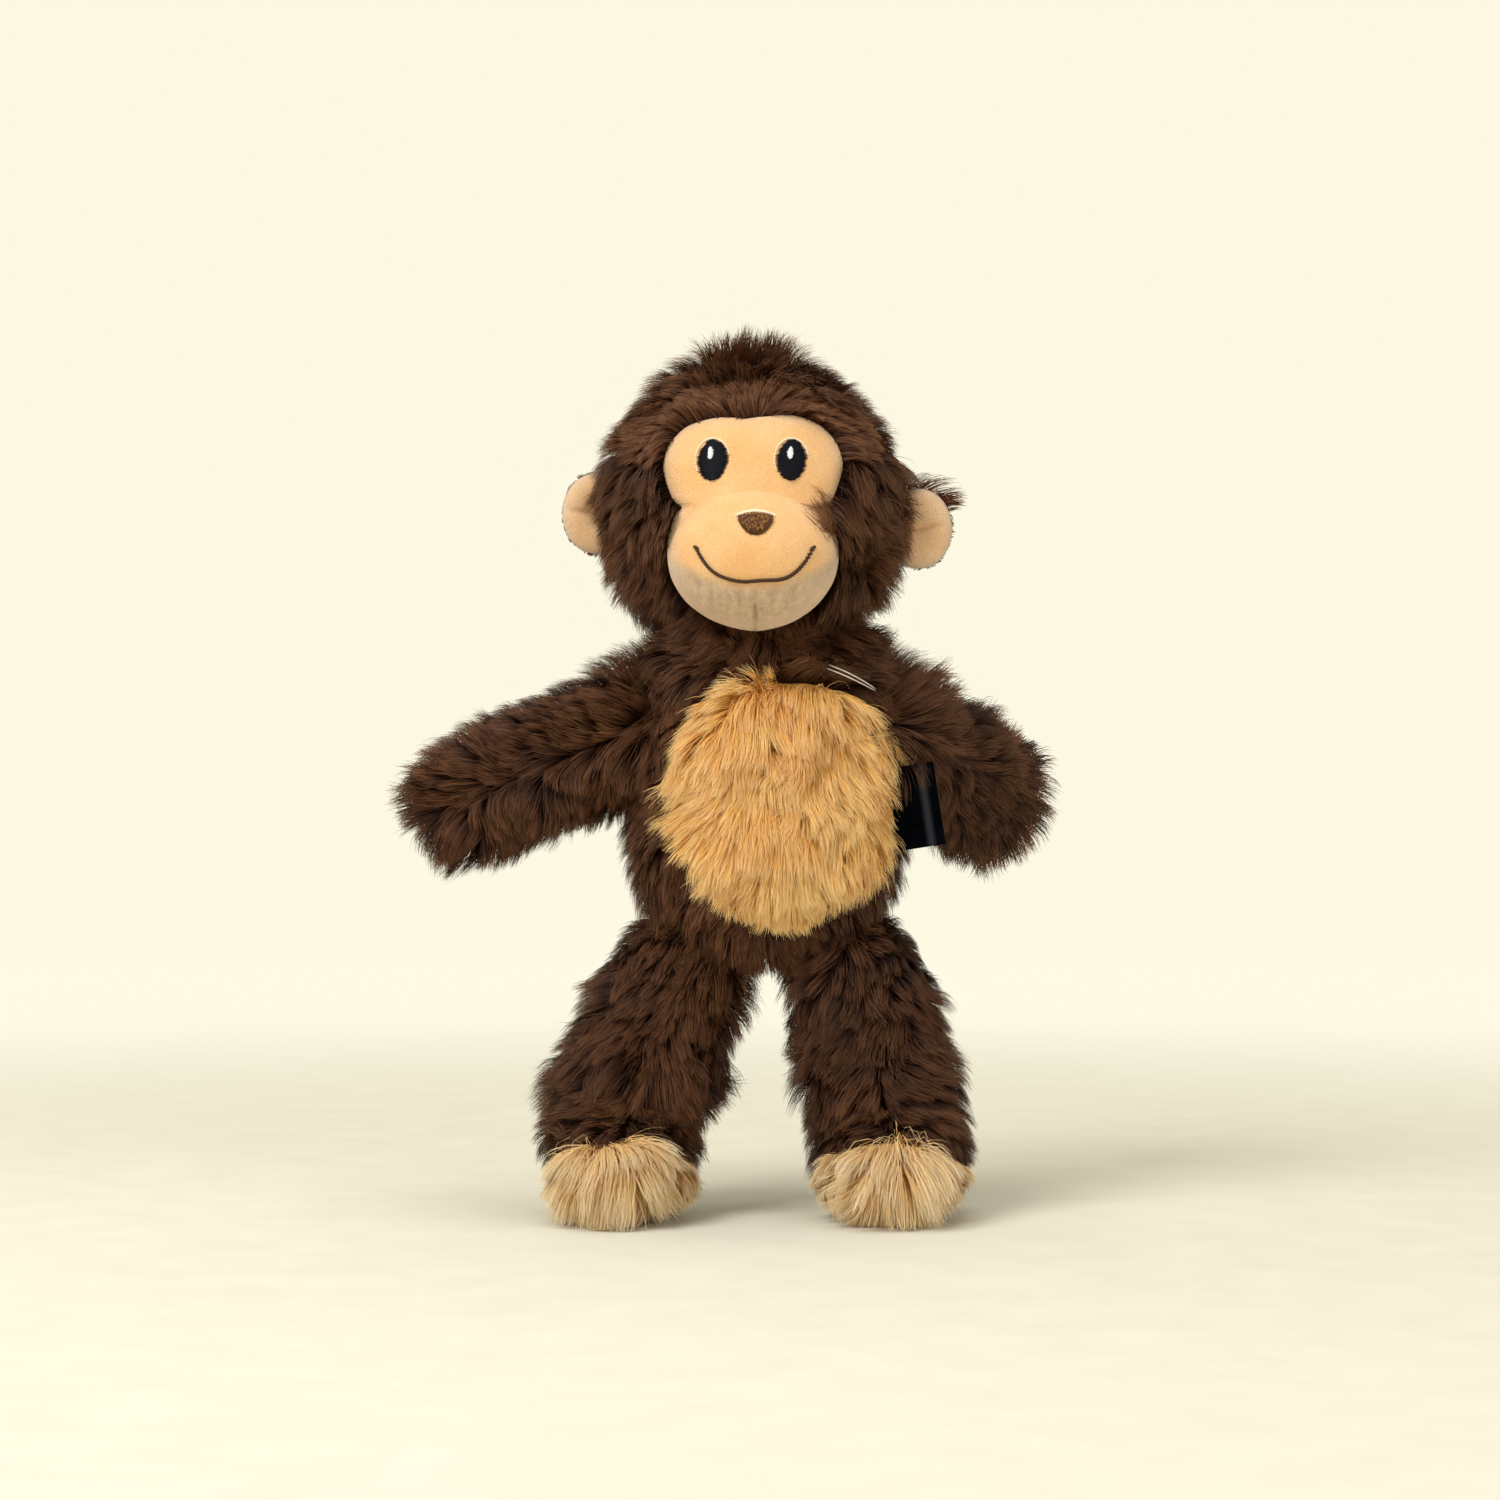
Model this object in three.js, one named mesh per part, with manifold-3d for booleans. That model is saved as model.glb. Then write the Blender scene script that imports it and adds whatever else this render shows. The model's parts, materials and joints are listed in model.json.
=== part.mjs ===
// A stuffed monkey, 28 cm tall in its covers, standing on its soles: long-pile plush covers over
// fibrefill, a short-pile velour face and ears, embroidered features, a folded satin label and a nylon
// tag loop. Millimetres, +Z up, the face looks along -Y. Left and right are the toy's own, so its left
// is at +X. Every cover is a thin shell that stands for the backing and the dense root of its pile.
import * as THREE from "three";
import { mergeVertices } from "three/addons/utils/BufferGeometryUtils.js";
import Module from "manifold-3d";

const wasm = await Module();
wasm.setup();

// ---- Driving dimensions -------------------------------------------------------------------------
const COVER = 2.5; // thickness of a plush or velour cover
const GAP = 0.35; // clearance between pieces that touch
const SWING = 2; // clearance to a limb as it swings: more than the facets of its coarse copies cut off
const ROOT_ROOM = 1.2; // clearance round the root of an ear and the ball of the neck
const FAR = 400; // longer than the toy, for cutting tools

// How finely round forms are divided.
const RINGS_PER_SEGMENT = 0.6;
const HIDDEN_SHARE = 0.7; // surfaces inside a cover are hidden, and take this share of the facets

// A stuffed form is `width` wide on each side of its middle. `topCurve` and `bottomCurve` are 2 for an
// ellipse and more for a blunter end. `depth` is its half depth as a share of its half width.
const TORSO = { width: 41, up: 55, down: 50, depth: 0.74, topCurve: 3.5, bottomCurve: 2.8 };
const TORSO_AT = [-1, 0, 138];
const NECK = { at: [-4, 1, 194], r: 19 }; // the ball of fibrefill that both neck joints turn on
const HEAD = { width: 45, up: 41, down: 45, depth: 0.89, topCurve: 2, bottomCurve: 2.6 };
const HEAD_AT = [-6, 0, 240];

// Places on the face are measured from the middle of the head.
const MUZZLE = { y: -34, z: -25, rx: 27.5, ry: 20, rz: 22.3 };
// The upper face is two lobes round the eyes, with a dip between them. FACE_EDGE is half of its outline,
// as [x, z] from the top of a lobe, round its side, to the pinch above the muzzle.
const FACE_EDGE = [[13, 22], [25.5, 16.5], [29, 9], [27.5, 0.5], [22, -5.5]];
const FACE = { near: -8, middleZ: 8, dip: 20 };
const BROW_SEAM = 12; // where the brow panel meets the cheeks
const EAR_SEAM = -6; // the seam from ear to ear over the crown, in front of the middle
const THREAD = 0.6; // thickness of filled embroidery
const EYE = { spread: 12.7, z: 7.5, rx: 4.8, rz: 6.7 };
const GLINT = { x: -0.4, z: 2, rx: 1.4, rz: 1.9 }; // from the middle of its eye
const RIM = { width: 0.7, off: 0.2, from: 0.5, to: 3.6 }; // round the top of an eye, angles in radians
const NOSE = { z: -13.5, half: 6, high: 3.8, cornerZ: 1.5, round: 0.8 };
const MOUTH = { half: 18.6, cornerZ: -21.3, lowZ: -32, thread: 1.3, square: 0.7 };
const EAR = { rx: 12, ry: 4.6, rz: 13.5, reach: 6.5, root: 4.4 };

const ARM = { length: 66, shoulder: 16.5, middle: 16.8, paw: 15.5 };
const LEG = { hip: 18, knee: 18.5, ankle: 20.5 };
const LIMB_MIDDLE = 0.55; // how far along a limb its middle width lies
const FOOT = { radii: [23, 30, 22], z: 15, toe: 9 };
const SOLE = { heelZ: 3.5, toeZ: 24 }; // the tan panel's edge climbs from the heel to the toes
const BELLY = { near: -2, x: 3, z: 137, rx: 34, rz: 40 };
const LABEL = { at: [38.8, -12, 134], width: 20, height: 28.3, thick: 0.5, lean: 6.7 };
const LOOP = { from: [19, -31.5, 181], to: [33, -29, 173], apart: 0.86, pinch: 0.7, r: 0.3 };

// Where each limb leaves the body, and the way it points at rest.
const ARMS = {
  right: { at: [-40, 0, 162], drop: 23, back: 5, way: -1, swing: [-18, 60] },
  left: { at: [33, 3, 160], drop: 28, back: 45, way: 1, swing: [-18, 60] },
};
const LEGS = {
  right: { hip: [-27, -1, 84], ankle: [-49, 0, 25], way: -1 },
  left: { hip: [28, -1, 84], ankle: [40, 0, 25], way: 1 },
};
const EARS = {
  right: { at: [-45, 4, -7], way: -1 }, // from the middle of the head
  left: { at: [48.5, 4, -12], way: 1 },
};
const HIP_SWING = [-20, 80];

// ---- Solids: three.js geometry in, manifold-3d solids to cut and join, three.js geometry out ----
function solid(geometry, matrix = new THREE.Matrix4()) {
  const bare = geometry.clone().applyMatrix4(matrix);
  bare.deleteAttribute("normal");
  bare.deleteAttribute("uv");
  const merged = mergeVertices(bare, 1e-4);
  return new wasm.Manifold(
    new wasm.Mesh({
      numProp: 3,
      vertProperties: new Float32Array(merged.attributes.position.array),
      triVerts: new Uint32Array(merged.index.array),
    }),
  );
}

function geometryOf(made) {
  const mesh = made.getMesh();
  return new THREE.BufferGeometry()
    .setAttribute("position", new THREE.BufferAttribute(mesh.vertProperties, 3))
    .setIndex(new THREE.BufferAttribute(mesh.triVerts, 1));
}

// The biggest body of a solid, without the slivers that a cut leaves.
function biggest(made) {
  return made.decompose().sort((a, b) => b.volume() - a.volume())[0];
}

const all = (solids) => solids.reduce((sum, next) => sum.add(next));

const facets = (count, grow) => (grow < 0 ? Math.round(count * HIDDEN_SHARE) : count);

// ---- Shapes -------------------------------------------------------------------------------------
// A closed solid of revolution about Z from [radius, height] pairs, the lowest first.
function turned(profile, segments) {
  const points = profile.map(([r, z]) => new THREE.Vector2(r, z));
  points[0].x = 0;
  points[points.length - 1].x = 0;
  return new THREE.LatheGeometry(points, segments).rotateX(Math.PI / 2);
}

// A stuffed form about its middle, made bigger all round by `grow`.
function stuffed(form, grow, segments) {
  const rings = facets(Math.round(segments * RINGS_PER_SEGMENT), grow);
  const profile = [];
  for (let i = 0; i <= rings; i++) {
    const t = -Math.PI / 2 + (Math.PI * i) / rings;
    const rising = t > 0;
    const power = 2 / (rising ? form.topCurve : form.bottomCurve);
    const height = (rising ? form.up : -form.down) + Math.sign(t) * grow;
    profile.push([
      (form.width + grow) * Math.abs(Math.cos(t)) ** power,
      height * Math.abs(Math.sin(t)) ** power,
    ]);
  }
  const depth = (form.width * form.depth + grow) / (form.width + grow);
  return turned(profile, facets(segments, grow)).scale(1, depth, 1);
}

const torsoForm = (grow) => solid(stuffed(TORSO, grow, 20).translate(...TORSO_AT));
const headForm = (grow) => solid(stuffed(HEAD, grow, 24));

function ellipsoid(at, radii, grow = 0, segments = 16) {
  const around = facets(segments, grow);
  return new THREE.SphereGeometry(1, around, Math.round(around * RINGS_PER_SEGMENT))
    .rotateX(Math.PI / 2)
    .scale(radii[0] + grow, radii[1] + grow, radii[2] + grow)
    .translate(...at);
}

const ball = (at, r, segments = 14) => ellipsoid(at, [r, r, r], 0, segments);

function muzzleForm(grow) {
  return solid(ellipsoid([0, MUZZLE.y, MUZZLE.z], [MUZZLE.rx, MUZZLE.ry, MUZZLE.rz], grow, 20));
}

// A limb along +X from its joint at the origin, with round ends.
function limb({ length, shoulder, middle, paw }, grow, segments, endSteps = 3) {
  const profile = [];
  for (let i = 0; i <= endSteps; i++) {
    const t = (Math.PI / 2) * (i / endSteps);
    profile.push([(shoulder + grow) * Math.sin(t), -(shoulder + grow) * Math.cos(t)]);
  }
  profile.push([middle + grow, length * LIMB_MIDDLE]);
  for (let i = 0; i <= endSteps; i++) {
    const t = (Math.PI / 2) * (i / endSteps);
    profile.push([(paw + grow) * Math.cos(t), length + (paw + grow) * Math.sin(t)]);
  }
  return turned(profile, facets(segments, grow)).rotateY(Math.PI / 2);
}

// A leg without its foot, from the hip at the origin to the ankle.
function shank({ hip, ankle }, grow, segments, endSteps) {
  const span = new THREE.Vector3(...ankle).sub(new THREE.Vector3(...hip));
  const form = { length: span.length(), shoulder: LEG.hip, middle: LEG.knee, paw: LEG.ankle };
  const turn = new THREE.Quaternion().setFromUnitVectors(new THREE.Vector3(1, 0, 0), span.normalize());
  return limb(form, grow, segments, endSteps).applyQuaternion(turn);
}

// All the space on one side of a plane: the side that `normal` points to.
function halfSpace(point, normal) {
  const n = new THREE.Vector3(...normal).normalize();
  const turn = new THREE.Quaternion().setFromUnitVectors(new THREE.Vector3(0, 0, 1), n);
  const middle = new THREE.Vector3(...point).addScaledVector(n, FAR / 2);
  const placed = new THREE.Matrix4().compose(middle, turn, new THREE.Vector3(1, 1, 1));
  return solid(new THREE.BoxGeometry(FAR, FAR, FAR), placed);
}

// A shape drawn in the XZ plane, pushed along -Y from `near`.
function pushed(shape, near, curveSegments) {
  const form = new THREE.ExtrudeGeometry(shape, { depth: FAR, bevelEnabled: false, curveSegments });
  return solid(form.rotateX(Math.PI / 2).translate(0, near, 0));
}

function oval(x, z, rx, rz) {
  return new THREE.Shape().absellipse(x, z, rx, rz, 0, Math.PI * 2, false, 0);
}

// The room a limb needs: a round socket at its joint, and the limb at the ends and middle of its swing.
function swingRoom(form, at, axis, [low, high], socket) {
  const angles = [low, (low + high) / 2, high, 0];
  const copies = angles.map((degrees) => {
    const turn = new THREE.Matrix4().makeRotationAxis(axis, THREE.MathUtils.degToRad(degrees));
    return solid(form, new THREE.Matrix4().makeTranslation(...at).multiply(turn));
  });
  return all([solid(ball(at, socket)), ...copies]);
}

// ---- Materials and nodes ------------------------------------------------------------------------
function surface(colour, roughness) {
  return new THREE.MeshStandardMaterial({ color: colour, roughness, metalness: 0 });
}
const brownPlush = () => surface("#4a3228", 0.95);
const tanPlush = () => surface("#e8b671", 0.95);
const velour = () => surface("#f2c08c", 0.9);
const fill = () => surface("#f4f2ec", 1);
const blackThread = () => surface("#1b1f29", 0.5);
const whiteThread = () => surface("#eef0f2", 0.5);
const creamThread = () => surface("#fbe3b8", 0.6);
const brownThread = () => surface("#6a4522", 0.6);
const satin = () => surface("#0c0d12", 0.35);
const nylon = () => surface("#e9e4da", 0.3);

// Each body is a group at its joint. Its solids are made in that group's frame.
function bodyAt(parent, position) {
  const group = new THREE.Group();
  group.position.set(...position);
  parent.add(group);
  return group;
}

function addNode(group, name, made, material) {
  const mesh = new THREE.Mesh(geometryOf(biggest(made)), material());
  mesh.name = name;
  group.add(mesh);
}

const monkey = new THREE.Group();
const torso = bodyAt(monkey, [0, 0, 0]);
const neck = bodyAt(torso, NECK.at);
const headFromNeck = HEAD_AT.map((v, i) => v - NECK.at[i]);
const head = bodyAt(neck, headFromNeck);

// ---- Arms: an upper and a lower panel, sewn along the front and the back, over a stuffed core ---
function armFrame({ drop, back, way }) {
  const down = THREE.MathUtils.degToRad(drop);
  const away = THREE.MathUtils.degToRad(back);
  const along = new THREE.Vector3(
    way * Math.cos(away) * Math.cos(down),
    Math.sin(away),
    -Math.cos(away) * Math.sin(down),
  );
  const across = new THREE.Vector3(0, 0, 1).cross(along).normalize();
  return new THREE.Matrix4().makeBasis(along, across, along.clone().cross(across));
}

function addArm(side) {
  const arm = bodyAt(torso, ARMS[side].at);
  arm.setRotationFromMatrix(armFrame(ARMS[side]));
  const cover = solid(limb(ARM, 0, 14)).subtract(solid(limb(ARM, -COVER, 14)));
  const above = halfSpace([0, 0, GAP / 2], [0, 0, 1]);
  const below = halfSpace([0, 0, -GAP / 2], [0, 0, -1]);
  addNode(arm, `${side}_arm_upper_panel`, cover.intersect(above), brownPlush);
  addNode(arm, `${side}_arm_lower_panel`, cover.intersect(below), brownPlush);
  addNode(arm, `${side}_arm_stuffing`, solid(limb(ARM, -COVER - GAP, 14)), fill);
}

function armRoom(side) {
  const { at, swing, way } = ARMS[side];
  const form = limb(ARM, SWING, 8, 2).applyMatrix4(armFrame(ARMS[side]));
  return swingRoom(form, at, new THREE.Vector3(0, -way, 0), swing, ARM.shoulder + 2 * SWING);
}

// ---- Legs: an outer and an inner panel, a tan sole that wraps up over the toes, and a core ---
function legForm(place, grow) {
  const floor = -place.hip[2];
  const ankle = place.ankle.map((v, i) => v - place.hip[i]);
  const foot = ellipsoid([ankle[0], ankle[1] - FOOT.toe, floor + FOOT.z], FOOT.radii, grow);
  const ground = halfSpace([0, 0, floor + Math.max(-grow, 0)], [0, 0, 1]);
  return solid(shank(place, grow, 14, 3))
    .add(solid(foot))
    .intersect(ground);
}

function addLeg(side) {
  const place = LEGS[side];
  const leg = bodyAt(torso, place.hip);
  const run = place.ankle.map((v, i) => v - place.hip[i]);
  const outwards = new THREE.Vector3(-run[2], 0, run[0]).multiplyScalar(place.way).normalize();
  const cover = legForm(place, 0).subtract(legForm(place, -COVER));
  const toes = [run[0], run[1] - FOOT.toe - FOOT.radii[1], SOLE.toeZ - place.hip[2]];
  const slope = [0, SOLE.toeZ - SOLE.heelZ, 2 * FOOT.radii[1]];
  const upper = cover.intersect(halfSpace([toes[0], toes[1], toes[2] + GAP], slope));
  const cut = (way) => {
    const n = outwards.clone().multiplyScalar(way);
    return halfSpace(n.clone().multiplyScalar(GAP / 2).toArray(), n.toArray());
  };
  const down = slope.map((v) => -v);
  addNode(leg, `${side}_leg_outer_panel`, upper.intersect(cut(1)), brownPlush);
  addNode(leg, `${side}_leg_inner_panel`, upper.intersect(cut(-1)), brownPlush);
  addNode(leg, `${side}_sole`, cover.intersect(halfSpace(toes, down)), tanPlush);
  addNode(leg, `${side}_leg_stuffing`, legForm(place, -COVER - GAP), fill);
}

function legRoom(side) {
  const form = shank(LEGS[side], SWING, 8, 2);
  return swingRoom(form, LEGS[side].hip, new THREE.Vector3(-1, 0, 0), HIP_SWING, LEG.hip + 2 * SWING);
}

// ---- Torso: a front cover with an oval belly patch, two back covers that close along the spine --
function addTorso() {
  const room = all([
    armRoom("left"),
    armRoom("right"),
    legRoom("left"),
    legRoom("right"),
    solid(ball(NECK.at, NECK.r + ROOT_ROOM, 16)),
  ]);
  const cover = torsoForm(0).subtract(torsoForm(-COVER)).subtract(room);
  const front = cover.intersect(halfSpace([0, -GAP / 2, 0], [0, -1, 0]));
  const back = cover.intersect(halfSpace([0, GAP / 2, 0], [0, 1, 0]));
  const patch = pushed(oval(BELLY.x, BELLY.z, BELLY.rx, BELLY.rz), BELLY.near, 10);
  const opening = pushed(oval(BELLY.x, BELLY.z, BELLY.rx + GAP, BELLY.rz + GAP), BELLY.near, 10);
  const spine = (way) => halfSpace([TORSO_AT[0] + (way * GAP) / 2, 0, 0], [way, 0, 0]);
  addNode(torso, "torso_front_panel", front.subtract(opening), brownPlush);
  addNode(torso, "belly_patch", front.intersect(patch), tanPlush);
  addNode(torso, "torso_back_left_panel", back.intersect(spine(1)), brownPlush);
  addNode(torso, "torso_back_right_panel", back.intersect(spine(-1)), brownPlush);
  addNode(torso, "torso_stuffing", torsoForm(-COVER - GAP).subtract(room), fill);
}

// ---- Head ---------------------------------------------------------------------------------------
// The outline of the upper face, made bigger all round by `grow`.
function upperFace(grow) {
  const middle = new THREE.Vector2(0, FACE.middleZ);
  const outline = [...FACE_EDGE, ...FACE_EDGE.map(([x, z]) => [-x, z]).reverse(), [0, FACE.dip]];
  const points = outline.map(([x, z]) => {
    const point = new THREE.Vector2(x, z);
    return point.addScaledVector(point.clone().sub(middle).normalize(), grow);
  });
  const lobe = FACE_EDGE.length;
  const dip = points[2 * lobe];
  const shape = new THREE.Shape();
  shape.moveTo(dip.x, dip.y);
  shape.splineThru(points.slice(0, lobe));
  shape.lineTo(points[lobe].x, points[lobe].y);
  shape.splineThru(points.slice(lobe + 1));
  return shape;
}

// A vertical pin of cloth at the root of an ear, which the ear turns about.
function earRoot(r, height) {
  return new THREE.CylinderGeometry(r, r, height, 12).rotateX(Math.PI / 2);
}

function addHead() {
  const muzzleSeat = muzzleForm(GAP);
  const sockets = ["left", "right"].map((side) =>
    solid(earRoot(EAR.root + ROOT_ROOM, 2 * EAR.rz).translate(...EARS[side].at)),
  );
  const neckSeat = solid(ball(headFromNeck.map((v) => -v), NECK.r + GAP, 16));
  const room = all([neckSeat, ...sockets]);
  const cover = headForm(0).subtract(headForm(-COVER)).subtract(room);
  const face = pushed(upperFace(0), FACE.near, 5);
  const hole = pushed(upperFace(GAP), FACE.near, 5).add(muzzleSeat);
  const furred = cover.subtract(hole);
  const front = furred.intersect(halfSpace([0, EAR_SEAM - GAP, 0], [0, -1, 0]));
  const back = furred.intersect(halfSpace([0, EAR_SEAM, 0], [0, 1, 0]));
  const cheeks = front.intersect(halfSpace([0, 0, BROW_SEAM - GAP], [0, 0, -1]));
  const leftHalf = halfSpace([GAP / 2, 0, 0], [1, 0, 0]);
  const rightHalf = halfSpace([-GAP / 2, 0, 0], [-1, 0, 0]);
  const skull = headForm(GAP);
  const muzzleCover = muzzleForm(0).subtract(muzzleForm(-COVER));
  addNode(head, "head_brow_panel", front.intersect(halfSpace([0, 0, BROW_SEAM], [0, 0, 1])), brownPlush);
  addNode(head, "head_left_cheek_panel", cheeks.intersect(leftHalf), brownPlush);
  addNode(head, "head_right_cheek_panel", cheeks.intersect(rightHalf), brownPlush);
  addNode(head, "head_back_left_panel", back.intersect(leftHalf), brownPlush);
  addNode(head, "head_back_right_panel", back.intersect(rightHalf), brownPlush);
  addNode(head, "face_panel", cover.intersect(face).subtract(muzzleSeat), velour);
  addNode(head, "muzzle_panel", muzzleCover.subtract(skull), velour);
  addNode(head, "muzzle_stuffing", muzzleForm(-COVER - GAP).subtract(skull), fill);
  addNode(head, "head_stuffing", headForm(-COVER - GAP).subtract(room), fill);
}

// Thread on the front of a form, inside an outline: a layer that starts `above` the form.
function stitched(form, near, shape, above = GAP) {
  return form(above + THREAD)
    .subtract(form(above))
    .intersect(pushed(shape, near, 5));
}

function addEye(side, way) {
  const { z, rx, rz } = EYE;
  const x = way * EYE.spread;
  const glint = oval(x + GLINT.x, z + GLINT.z, GLINT.rx, GLINT.rz);
  const far = RIM.off + RIM.width;
  const rim = new THREE.Shape().absellipse(x, z, rx + far, rz + far, RIM.from, RIM.to, false, 0);
  rim.absellipse(x, z, rx + RIM.off, rz + RIM.off, RIM.to, RIM.from, true, 0);
  const pupil = stitched(headForm, 0, oval(x, z, rx, rz));
  addNode(head, `${side}_eye_thread`, pupil, blackThread);
  addNode(head, `${side}_eye_glint`, stitched(headForm, 0, glint, 2 * GAP + THREAD), whiteThread);
  addNode(head, `${side}_eye_rim`, stitched(headForm, 0, rim), creamThread);
}

// A rounded triangle, wide at the top.
function addNose() {
  const { z, half, high, cornerZ, round } = NOSE;
  const corner = z + cornerZ;
  const nose = new THREE.Shape();
  nose.moveTo(-half, corner);
  nose.quadraticCurveTo(-half * round, z - high, 0, z - high);
  nose.quadraticCurveTo(half * round, z - high, half, corner);
  nose.quadraticCurveTo(half * round, z + high, 0, z + high);
  nose.quadraticCurveTo(-half * round, z + high, -half, corner);
  addNode(head, "nose_thread", stitched(muzzleForm, MUZZLE.y, nose), brownThread);
}

function addMouth() {
  const { half, cornerZ, lowZ, thread, square } = MOUTH;
  const handleX = half * square;
  const handleZ = (lowZ - cornerZ / 4) / 0.75; // brings the middle of the curve down to lowZ
  const under = handleZ - thread;
  const mouth = new THREE.Shape();
  mouth.moveTo(half, cornerZ);
  mouth.bezierCurveTo(handleX, handleZ, -handleX, handleZ, -half, cornerZ);
  mouth.lineTo(-half, cornerZ - thread);
  mouth.bezierCurveTo(-handleX, under, handleX, under, half, cornerZ - thread);
  mouth.closePath();
  addNode(head, "mouth_thread", stitched(muzzleForm, MUZZLE.y, mouth), brownThread);
}

// An ear: velour in front and plush behind, round a root that is caught in the seam of the head.
function addEar(side) {
  const { at, way } = EARS[side];
  const ear = bodyAt(head, at);
  const outside = halfSpace([0, 0, 0], [way, 0, 0]).add(solid(earRoot(EAR.root, 2 * EAR.rz)));
  const shell = ellipsoid([way * EAR.reach, 0, 0], [EAR.rx, EAR.ry, EAR.rz]);
  const whole = solid(shell).intersect(outside);
  addNode(ear, `${side}_ear_front`, whole.intersect(halfSpace([0, -GAP / 2, 0], [0, -1, 0])), velour);
  addNode(ear, `${side}_ear_back`, whole.intersect(halfSpace([0, GAP / 2, 0], [0, 1, 0])), brownPlush);
}

// ---- Label and tag loop -------------------------------------------------------------------------
// A satin strip folded once: two layers that meet in a round fold at the free edge, open at the seam.
function addLabel() {
  const { width, height, thick, lean } = LABEL;
  const label = bodyAt(torso, LABEL.at);
  label.rotation.y = THREE.MathUtils.degToRad(-lean);
  const bend = width - 1.5 * thick;
  const strip = new THREE.Shape();
  strip.moveTo(0, -1.5 * thick);
  strip.lineTo(bend, -1.5 * thick);
  strip.absarc(bend, 0, 1.5 * thick, -Math.PI / 2, Math.PI / 2, false);
  strip.lineTo(0, 1.5 * thick);
  strip.lineTo(0, 0.5 * thick);
  strip.lineTo(bend, 0.5 * thick);
  strip.absarc(bend, 0, 0.5 * thick, Math.PI / 2, -Math.PI / 2, true);
  strip.lineTo(0, -0.5 * thick);
  strip.closePath();
  const form = new THREE.ExtrudeGeometry(strip, { depth: height, bevelEnabled: false, curveSegments: 6 });
  addNode(label, "side_label", solid(form.translate(0, 0, -height / 2)), satin);
}

// The nylon staple that a hang tag was held by: a thin hairpin, caught at both ends in the pile.
function addTagLoop() {
  const from = new THREE.Vector3(...LOOP.from);
  const to = new THREE.Vector3(...LOOP.to);
  const middle = from.clone().lerp(to, 0.5);
  const along = to.clone().sub(from).normalize();
  const aside = new THREE.Vector3(0, 1, 0).cross(along).negate().normalize().multiplyScalar(LOOP.apart);
  const beyond = along.clone().multiplyScalar(LOOP.apart);
  const path = new THREE.CatmullRomCurve3([
    from.clone().add(aside),
    middle.clone().add(aside),
    to.clone().addScaledVector(aside, LOOP.pinch),
    to.clone().add(beyond),
    to.clone().addScaledVector(aside, -LOOP.pinch),
    middle.clone().sub(aside),
    from.clone().sub(aside),
  ]);
  const section = new THREE.Shape().absarc(0, 0, LOOP.r, 0, Math.PI * 2, false);
  const form = new THREE.ExtrudeGeometry(section, { steps: 16, extrudePath: path, curveSegments: 3 });
  addNode(torso, "tag_loop", solid(form), nylon);
}

addTorso();
addNode(neck, "neck_stuffing", solid(ball([0, 0, 0], NECK.r, 16)), fill);
addHead();
addEye("left", 1);
addEye("right", -1);
addNose();
addMouth();
addEar("left");
addEar("right");
addArm("left");
addArm("right");
addLeg("left");
addLeg("right");
addLabel();
addTagLoop();

// The frame's origin is on the floor, under the middle of the toy's own box.
const bounds = new THREE.Box3().setFromObject(monkey, true);
monkey.position.set(-(bounds.min.x + bounds.max.x) / 2, -(bounds.min.y + bounds.max.y) / 2, 0);

export default monkey;
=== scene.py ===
"""The looks of a stuffed monkey: long clumped plush on stuffed covers, a velour face, embroidery."""

import json
import math

import bpy
import numpy as np
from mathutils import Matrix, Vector
from mathutils.bvhtree import BVHTree
from mathutils.kdtree import KDTree


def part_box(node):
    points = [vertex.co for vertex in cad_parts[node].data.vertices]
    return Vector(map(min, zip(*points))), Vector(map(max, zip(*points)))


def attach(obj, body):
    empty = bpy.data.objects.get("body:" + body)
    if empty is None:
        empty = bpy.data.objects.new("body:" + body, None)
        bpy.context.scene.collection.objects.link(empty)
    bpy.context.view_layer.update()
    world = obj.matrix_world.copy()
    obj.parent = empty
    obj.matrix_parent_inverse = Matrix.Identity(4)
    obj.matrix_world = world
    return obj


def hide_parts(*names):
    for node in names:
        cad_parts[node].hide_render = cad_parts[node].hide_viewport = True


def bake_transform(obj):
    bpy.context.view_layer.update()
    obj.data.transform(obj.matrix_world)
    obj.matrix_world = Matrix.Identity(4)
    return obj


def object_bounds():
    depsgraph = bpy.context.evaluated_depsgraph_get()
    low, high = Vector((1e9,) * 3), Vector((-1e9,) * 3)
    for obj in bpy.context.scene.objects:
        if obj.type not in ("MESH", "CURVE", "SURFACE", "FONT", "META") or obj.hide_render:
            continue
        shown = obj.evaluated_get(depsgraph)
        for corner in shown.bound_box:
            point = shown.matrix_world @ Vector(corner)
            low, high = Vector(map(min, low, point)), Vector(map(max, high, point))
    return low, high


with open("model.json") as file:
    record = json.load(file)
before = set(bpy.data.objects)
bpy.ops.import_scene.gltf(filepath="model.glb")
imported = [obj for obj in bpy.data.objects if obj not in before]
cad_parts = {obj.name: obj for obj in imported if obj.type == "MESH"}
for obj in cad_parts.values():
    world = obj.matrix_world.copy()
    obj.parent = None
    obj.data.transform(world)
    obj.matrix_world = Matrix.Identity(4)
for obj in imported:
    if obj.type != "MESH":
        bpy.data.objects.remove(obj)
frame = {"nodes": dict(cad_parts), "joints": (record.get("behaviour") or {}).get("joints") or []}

MM = 0.001
START_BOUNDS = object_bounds()
CAD_LOW, CAD_HIGH = (np.array(corner) / MM for corner in START_BOUNDS)
ROOM = 9.0 + 0.03 * (CAD_HIGH - CAD_LOW)  # how far the pile may stand out of the CAD box
JOINTS = {j["name"]: j for j in frame["joints"]}
SIDES = {"left": 1, "right": -1}  # the toy's own left is at +X

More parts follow.
